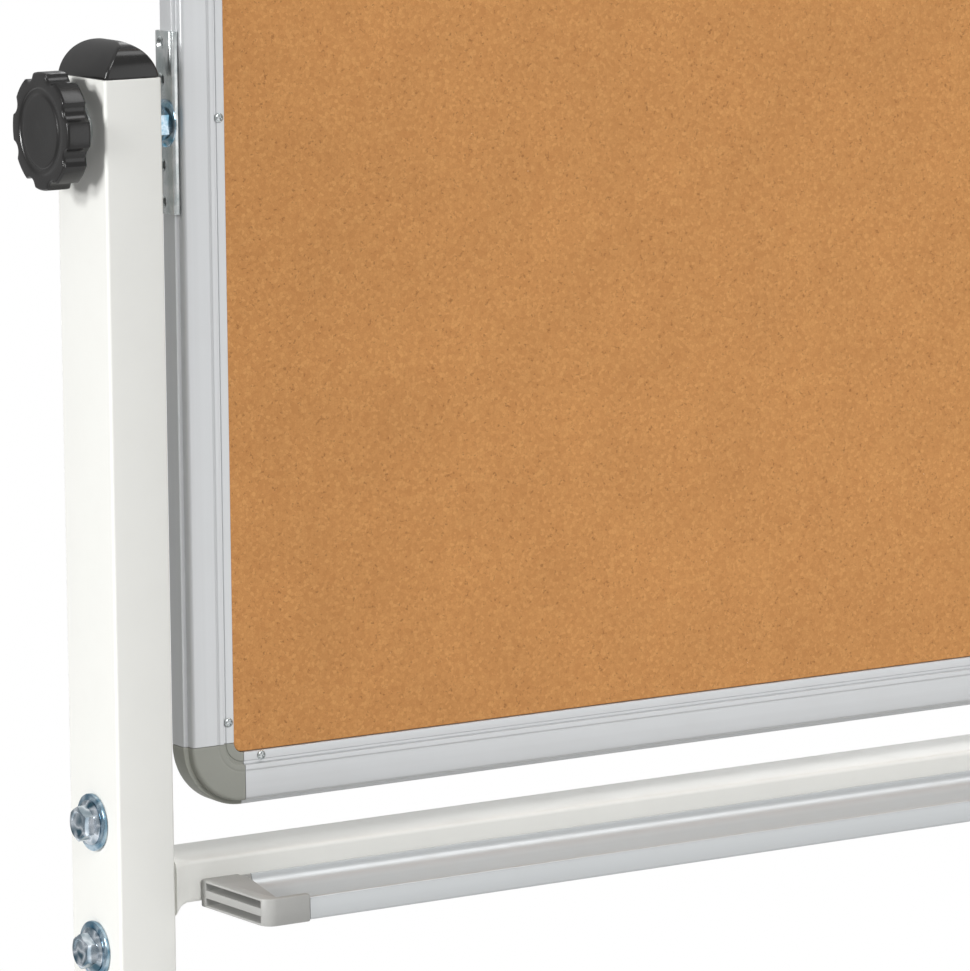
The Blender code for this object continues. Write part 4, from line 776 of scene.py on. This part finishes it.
def cap_plan(inset):
    """Return the tray cap's plan: square where it meets the tray, with a large front corner outside."""
    inner, outer = TRAY_CAP_INNER + inset, TRAY_END - inset
    rear, front = TRAY_REAR - inset, -81.5 + inset
    return rounded([(inner, rear, 0.5), (outer + 2.8, rear, 1.2), (outer, front, 7.0 - inset),
                    (inner, front, 0.8)], 8)


def make_tray_caps():
    """Moulded end caps with two deep slots, a scoop that carries on the trough, and a notch behind."""
    cap = loft("cap", [flat(cap_plan(inset), "XY", z) for z, inset in
                       ((641.9, 0.7), (642.05, 0.25), (642.5, 0), (655.3, 0), (655.8, 0.2), (656.1, 0.75))])
    hollow = trough() + [(-77.9, TRAY_FLOOR), (-77.9, 662), (-21.6, 662)]
    scoop = loft("scoop", [[mm(470, u, v) for u, v in hollow],
                           [mm(476.5 + (-21.6 - u) * 0.24, u, v) for u, v in hollow]])
    slots = [prism(f"slot_{number}", [(-76.4, z), (-25.4, z), (-25.4, z + 3.8), (-76.4, z + 3.8)], "YZ",
                   TRAY_END - 15, 502) for number, z in enumerate((643.2, 651.0))]
    notch = prism("notch", [(470, -27.5), (479.5, -27.5), (479.5, -18), (470, -18)], "XY", 655.2, 660)
    carve(cap, scoop, notch, *slots)
    soften(cap, 0.35, 2, 50)
    set_out(cap, "pale_grey_plastic", pair("tray_end", "stand", "tray_cap"), angle=30)


# Board

def frame_corners():
    """Return the frame's outer surface, from the front lip round the side to the back lip.

    Each corner is (distance in from the board's side, place from front to back, radius).
    """
    half, lip = FRAME_HALF_DEPTH, LIP_DEPTH
    return [(LIP_END, -lip, 0.35), (23.1, -lip, 0.2), (22.8, -6.5, 0), (21.6, -6.5, 0.1), (20.9, -half, 0.35),
            (18.7, -half, 0.3), (17.8, -8.3, 0.3), (16.9, -half, 0.3), (2.6, -half, 1.8), (2.6, -3.5, 0.3),
            (0, -3.5, 0.5), (0, half, 0.5), (21.2, half, 0.3), (21.2, lip, 0), (LIP_END, lip, 0.35)]


def frame_section():
    """Return the closed section of the frame: its outer surface and the throat for the sheets."""
    throat = [(LIP_END, 5.2, 0), (20.3, 5.2, 0), (20.3, -2.8, 0), (LIP_END, -2.8, 0)]
    return rounded(frame_corners() + throat, 5)


def make_frame():
    """Four aluminium profiles, cut square at the corner pieces."""
    section = frame_section()
    upright = prism("upright", [(u - BOARD_SIDE, v) for u, v in section], "XY", PIVOT - UPRIGHT_HALF,
                    PIVOT + UPRIGHT_HALF)
    level = prism("level", [(v, u + PIVOT - BOARD_HALF_HEIGHT) for u, v in section], "YZ", -LEVEL_HALF,
                  LEVEL_HALF)
    centre = Matrix.Translation(mm(0, 0, PIVOT))
    half_turn = centre @ Matrix.Rotation(math.pi, 4, "Y") @ centre.inverted()
    for piece, look, places in ((upright, "upright", ("left", "right")), (level, "level", ("bottom", "top"))):
        set_out(piece, look,
                [(f"profile_{word}", "board", [f"frame_{word}"], place)
                 for word, place in zip(places, (Matrix.Identity(4), half_turn))])


def make_corners():
    """Moulded corner pieces: the frame's section spun through a quarter turn."""
    section = flat([(u - CORNER_RADIUS, v) for u, v in frame_section()], "XY")
    corner, _ = draw_loop("corner", section, "NGON")
    bpy.ops.mesh.spin(steps=24, angle=math.pi / 2, center=(0, 0, 0), axis=(0, 1, 0))
    close_up()
    spots = []
    for turn, (name, x, z) in enumerate((("bottom_left", -1, -1), ("top_left", -1, 1), ("top_right", 1, 1),
                                         ("bottom_right", 1, -1))):
        centre = mm(x * (BOARD_SIDE - CORNER_RADIUS), 0, PIVOT + z * (BOARD_HALF_HEIGHT - CORNER_RADIUS))
        spots.append((f"corner_piece_{name}", "board", [f"corner_{name}"],
                      Matrix.Translation(centre) @ Matrix.Rotation(math.pi / 2 * turn, 4, "Y")))
    set_out(corner, "grey_plastic", spots, angle=30)


def make_sheets():
    """Cork in front, writing sheet behind, and the core between them."""
    for name, slot, node, front, back, edge in (
            ("cork_face", "cork", "cork_sheet", -5.8, -2.8, 0.35),
            ("writing_face", "white_steel", "writing_sheet", 5.2, 5.8, 0.12)):
        levels = ((front, edge), (front + edge, 0), (back - edge, 0), (back, edge))
        sheet = loft(name, stepped(944.2, 648.2, 5.1, "XZ", levels, (0, PIVOT)))
        finish(sheet, "board", slot, [node])
    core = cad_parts["core_panel"]
    core.data.materials.clear()
    core.data.materials.append(FINISH["fibreboard"])


def make_lip_screws():
    """Screws of the front lips, beside each corner piece and halfway up the sides."""
    screw = pan_screw("lip_screw", 2.5)
    spots = []
    for word, side in SIDES:
        for number, offset in enumerate((-308, 1.5, 308)):
            spots.append((f"side_screw_{number}_{word}", side * 475.6, offset))
        for number, offset in enumerate((-327.0, 327.0)):
            spots.append((f"rail_screw_{number}_{word}", side * 456.6, offset))
    set_out(screw, "steel",
            [(name, "board", [], Matrix.Translation(mm(x, -7.0, PIVOT + offset))
              @ Matrix.Rotation(math.pi / 2, 4, "X") @ Matrix.Rotation(0.5, 4, "Z"))
             for name, x, offset in spots])


def make_brackets():
    """Zinc-plated channels with rolled edges and countersunk holes, and the screws in their back flange."""
    corners = [(502.3, -5.8, 2.5), (502.3, 10.8, 2.5), (488.0, 10.8, 0.4), (488.0, 8.8, 0.4),
               (500.3, 8.8, 0.5), (500.3, -3.8, 0.5), (497.9, -3.8, 0.3), (497.9, -5.8, 0.5)]
    outline = rounded(corners, 6)
    bracket = prism("bracket", outline, "XY", PIVOT - BRACKET_HALF, PIVOT + BRACKET_HALF)
    soften(bracket, 0.25, 2, 60)
    for offset in (-40.0, -21.5, 21.5, 40.0):
        drill = turned("drill", [(0, 4), (3.6, 4), (3.6, 2.05), (2.1, 0.8), (2.1, -3), (0, -3)], 32)
        drill.matrix_world = outward(1, 500.3, 4.0, PIVOT + offset)
        carve(bracket, drill)
    set_out(bracket, "steel", pair("side_channel", "board", "bracket"), angle=30)
    screw = pan_screw("channel_screw", 3.0)
    set_out(screw, "steel",
            [(f"channel_screw_{number}_{word}", "board", [],
              Matrix.Translation(mm(side * 492.5, 10.8, PIVOT + offset))
              @ Matrix.Rotation(-math.pi / 2, 4, "X"))
             for word, side in SIDES for number, offset in enumerate((-30, 30))])


def make_pivots():
    """Threaded studs, flange nuts, spacers and knob washers."""
    stud = loft("stud", rings([(3.5, 0.3), (5.0, 0.3), (5.0, 2.4)]) + threads(2.8, 67.0, 5.0)
                + rings([(5.0, 67.4), (4.0, 68.8)]))
    nut = loft("nut", rings([(5.3, 2.6), (12.0, 2.6), (12.2, 2.9), (12.0, 3.5), (10.6, 4.4),
                             (hexagon(9.8), 5.0), (hexagon(9.8), chamfer_height(9.8, 10.6, 8.0)),
                             (8.0, 10.6), (5.9, 10.6), (5.3, 10.1), (5.3, 2.6)]))
    spacer = turned("spacer", [(5.3, 10.9), (11.1, 10.9), (11.5, 11.3), (11.5, 17.7), (11.1, 18.1),
                               (5.3, 18.1), (5.3, 10.9)])
    washer = turned("washer", [(5.3, 50.7), (12.7, 50.7), (13.0, 51.0), (13.0, 52.4), (12.7, 52.7),
                               (5.3, 52.7), (5.3, 50.7)], 56)
    for piece, name, body, node, slot, look in (
            (stud, "threaded_stud", "board", "pivot_stud", "zinc", "zinc"),
            (nut, "flange_nut", "board", "pivot_nut", "zinc", "zinc"),
            (spacer, "spacer_ring", "board", "pivot_spacer", "black_plastic", "black_plastic"),
            (washer, "clamp_washer", "knob_washer", "knob_washer", "zinc", "steel")):
        set_out(piece, look, pair(name, body, node, lambda side: outward(side, BOARD_SIDE, 0, PIVOT)),
                angle=30)


def flute_limit(angle):
    """Return how far out the knob reaches at an angle, between flutes with softly rounded borders."""
    share = math.tau / FLUTES
    off = (angle % share) - share / 2
    if FLUTE_AWAY * abs(math.sin(off)) >= FLUTE_RADIUS:
        return GRIP_RADIUS
    near = FLUTE_AWAY * math.cos(off) - math.sqrt(FLUTE_RADIUS ** 2 - (FLUTE_AWAY * math.sin(off)) ** 2)
    soft = 0.8
    mixed = min(1.0, max(0.0, 0.5 + 0.5 * (GRIP_RADIUS - near) / soft))
    return GRIP_RADIUS + (near - GRIP_RADIUS) * mixed - soft * mixed * (1 - mixed)


def knob_ring(radius, height):
    """Return one ring of the knob. Rings of the grip are drawn in where a flute runs."""
    if radius <= GRIP_INNER:
        return ring(radius, height, KNOB_STEPS)
    return ring(lambda angle: radius - GRIP_RADIUS + flute_limit(angle), height, KNOB_STEPS)


def make_knobs():
    """Fluted clamping knobs with a ringed face, hollow behind round a hub."""
    profile = [(0.3, 16.1), (5.3, 16.1), (5.3, 0.3), (5.6, 0.0), (12.1, 0.0), (12.5, 0.4), (12.5, 15.4),
               (13.0, 15.9), (22.1, 15.9), (22.6, 15.4), (22.6, 7.9), (23.1, 7.4), (24.4, 7.4), (28.3, 7.4),
               (29.0, 7.6), (29.4, 8.1), (29.5, 8.8), (29.5, 12.0), (29.5, 16.0)]
    for step in range(9):
        angle = math.pi / 2 * step / 8
        profile.append((28.0 + 1.5 * math.cos(angle), 19.1 + 1.5 * math.sin(angle)))
    profile += [(24.4, 20.6), (22.5, 20.6), (22.0, 20.52), (21.6, 20.25), (21.2, 19.95), (20.7, 19.8),
                (19.2, 19.75), (18.7, 19.9), (18.3, 20.2), (17.8, 20.4), (17.2, 20.42), (10.0, 20.1),
                (4.0, 20.0), (0.3, 20.0)]
    knob = loft("knob", [knob_ring(radius, height) for radius, height in profile])
    set_out(knob, "black_plastic",
            pair("clamp_knob", "knob", "knob", lambda side: outward(side, BOLT_FACE + 2.3, 0, PIVOT)), angle=32)


# Casters, modelled about the swivel axis with the trail along +Y

AXLE = Matrix.Translation(mm(0, AXLE_TRAIL, AXLE_HEIGHT)) @ Matrix.Rotation(math.pi / 2, 4, "Y")
def make_wheels():
    """Tread and hub of each wheel, on the axle behind the swivel axis."""
    tread = turned("tread", [(17.5, -8.0), (21.5, -9.0), (23.2, -8.9), (24.4, -8.0), (24.9, -6.2),
                             (25.0, -2.5), (25.0, 2.5), (24.9, 6.2), (24.4, 8.0), (23.2, 8.9), (21.5, 9.0),
                             (17.5, 8.0), (17.5, -8.0)], 72)

    def web(base):
        return lambda angle: base + 1.7 * max(0.0, math.cos(6 * angle)) ** 6

    side = rings([(3.3, 9.7), (7.0, 9.7), (7.5, 9.3), (7.6, web(6.0)), (12.0, web(5.6)), (16.2, web(5.9)),
                  (16.6, 7.6), (17.2, 8.2), (17.6, 8.1)], 72)
    other = [[Vector((place.x, place.y, -place.z)) for place in loop] for loop in reversed(side)]
    hub = loft("hub", side + other + [side[0]])
    for piece, name, look in ((tread, "wheel_tread", "grey_rubber"), (hub, "wheel_hub", "hub_plastic")):
        set_out(piece, look, foot_spots(name, "caster_wheel", "caster_wheel", end_place=AXLE))


def make_forks():
    """Pressed forks: a crown and two cheeks, open above the wheel's rear half, with riveted axles."""
    low = AXLE_HEIGHT - 8.0
    outline = rounded([(-15, 55, 3.5), (-15, 46, 3.5), (12, low, 7.0), (28, low, 7.0), (39, 47, 3.5),
                       (39, 55, 3.5)], 7)
    fork = prism("fork", outline, "YZ", -12, 12)
    hollow = prism("hollow", [(-45, -4), (45, -4), (45, 52.5), (-45, 52.5)], "YZ", -10, 10)
    window = prism("window", [(10, 30), (45, 30), (45, 60), (10, 60)], "YZ", -10, 10)
    carve(fork, hollow, window)
    soften(fork, 0.6, 3, 50)
    set_out(fork, "steel", foot_spots("fork", "caster_swivel", "caster_fork"))
    axle = turned("axle", [(0.02, 13.8), (2.4, 13.75), (3.9, 13.3), (4.7, 12.6), (4.8, 12.0), (3.0, 12.0),
                           (3.0, -12.0), (4.8, -12.0), (4.7, -12.6), (3.9, -13.3), (2.4, -13.75),
                           (0.02, -13.8)], 32)
    set_out(axle, "steel", foot_spots("axle_rivet", "caster_swivel", "caster_fork", end_place=AXLE))


def make_stems():
    """Threaded stem, collar, races and kingpin of each caster."""
    stem = turned("stem", [(0.02, 81.7), (4.0, 81.7), (5.0, 80.7), (5.0, 67.7), (8.8, 67.7), (9.0, 67.5),
                           (9.0, 64.3), (9.2, 64.0), (11.6, 62.6), (12.2, 62.1), (12.4, 61.0),
                           (14.4, 59.3), (15.0, 58.6), (15.0, 57.4), (14.2, 57.0), (14.2, 56.4),
                           (15.0, 56.0), (15.0, 55.3), (4.0, 55.3), (4.0, 52.2), (5.8, 52.2), (6.0, 51.9),
                           (5.6, 50.2), (4.4, 49.5), (0.02, 49.5)], 48)
    set_out(stem, "steel", foot_spots("stem", "stand", "caster_stem"), angle=30)


def make_pedals():
    """Brake pedals with three grip ridges, on a cross pin between the fork's cheeks."""
    outline = rounded([(-3, -3, 2.4), (3, -3, 1.1), (6, 0.4, 2.6), (25, 4.0, 1.2), (25, 6.6, 1.2)], 5,
                      closed=False)[1:-1]
    outline += rounded([(25, 4.0, 0), (25, 6.6, 1.1), (23.6, 6.3, 0)], 4, closed=False)[1:-1]
    for middle in (21.5, 18.5, 15.5):
        for step in range(5):
            angle = math.pi * step / 4
            u = middle + 0.75 * math.cos(angle)
            outline.append((u, 3.05 + (u + 3) * 0.1270 + 0.6 * math.sin(angle)))
    outline += rounded([(10, 4.7, 0), (-3, 3, 2.4), (-3, -3, 2.4), (3, -3, 0)], 5, closed=False)[1:-1]
    pedal = prism("pedal", outline, "YZ", -9.0, 9.0)
    pin = turned("pin", [(0.02, 13.0), (1.7, 13.0), (2.0, 12.7), (2.0, -12.7), (1.7, -13.0),
                         (0.02, -13.0)], 24)
    levers, pins = [], []
    for where, x, end in (("front_left", -POST_MIDDLE, -1), ("back_right", POST_MIDDLE, 1)):
        name = f"brake_pedal_{where}"
        place = Matrix.Translation(mm(x, end * PEDAL_REACH, PEDAL_HEIGHT)) @ turned_round(end)
        levers.append((f"pedal_{where}", name, [name], place))
        pins.append((f"pedal_pin_{where}", name, [name], place @ Matrix.Rotation(math.pi / 2, 4, "Y")))
    set_out(pedal, "black_plastic", levers)
    set_out(pin, "steel", pins)


# Stage

def make_camera():
    """Look at the lower left part of the board, as the photograph does."""
    clear_selection()
    bpy.ops.object.camera_add()
    camera = bpy.context.object
    camera.matrix_world = (Matrix.Translation((-1.97949, -2.65947, 1.33465))
                           @ Matrix.Rotation(math.radians(-32.035), 4, "Z")
                           @ Matrix.Rotation(math.radians(81.021), 4, "X")
                           @ Matrix.Rotation(math.radians(-0.527), 4, "Z"))
    camera.data.lens = 225.4
    camera.data.sensor_width = 36.0
    camera.data.clip_end = 50.0
    bpy.context.scene.camera = camera


def make_light(name, towards, strength, spread):
    """Add a soft distant lamp. Towards points from the board to the lamp, and spread is in degrees."""
    clear_selection()
    bpy.ops.object.light_add(type="SUN", location=(0, 0, 3))
    lamp = bpy.context.object
    lamp.name = name
    lamp.rotation_euler = Vector(towards).to_track_quat("Z", "Y").to_euler()
    lamp.data.energy = strength
    lamp.data.angle = math.radians(spread)


def make_stage():
    """Pale floor, white surroundings and soft light, most of it from the left and the front."""
    clear_selection()
    bpy.ops.mesh.primitive_circle_add(vertices=96, radius=2.0, fill_type="NGON")
    floor = bpy.context.object
    floor.name = "studio_floor"
    material, tree, shader, _ = start_material("pale_floor", 0.9, specular=0.1)
    path = put(tree, "ShaderNodeLightPath")
    seen = calc(tree, "MAXIMUM", path["Is Camera Ray"], path["Is Glossy Ray"])
    feed(tree, shader, {"Base Color": (0.82, 0.82, 0.82, 1.0), "Emission Color": WHITE,
                        "Emission Strength": calc(tree, "MULTIPLY", seen, 0.22)})
    floor.data.materials.append(material)
    world = bpy.data.worlds.new("white_studio")
    bpy.context.scene.world = world
    world.use_nodes = True
    tree = world.node_tree
    path = put(tree, "ShaderNodeLightPath")
    shine = calc(tree, "MULTIPLY", path["Is Glossy Ray"], 0.36)
    first = calc(tree, "MAXIMUM", path["Is Camera Ray"], shine)
    plain = calc(tree, "MAXIMUM", first, path["Is Transmission Ray"])
    feed(tree, tree.nodes["Background"], {"Color": WHITE, "Strength": remap(tree, plain, 0.0, 1.0, 0.15)})
    make_light("left_softbox_low", (-0.98, -0.06, 0.13), 1.5, 10)
    make_light("left_softbox_high", (-0.93, -0.08, 0.36), 1.5, 12)
    make_light("front_softbox", (-0.12, -0.81, 0.57), 1.72, 28)
    make_light("right_softbox", (0.53, -0.84, -0.08), 0.30, 34)
    make_light("top_softbox", (0.47, -0.28, 0.84), 0.42, 24)
    make_light("back_softbox", (0.68, 0.62, 0.40), 0.6, 30)
    bpy.context.scene.view_settings.view_transform = "Standard"


make_camera()
make_stage()
make_posts()
make_post_caps()
make_crossbars()
make_bolts()
make_feet()
make_tray()
make_tray_caps()
make_frame()
make_corners()
make_sheets()
make_lip_screws()
make_brackets()
make_pivots()
make_knobs()
make_wheels()
make_forks()
make_stems()
make_pedals()
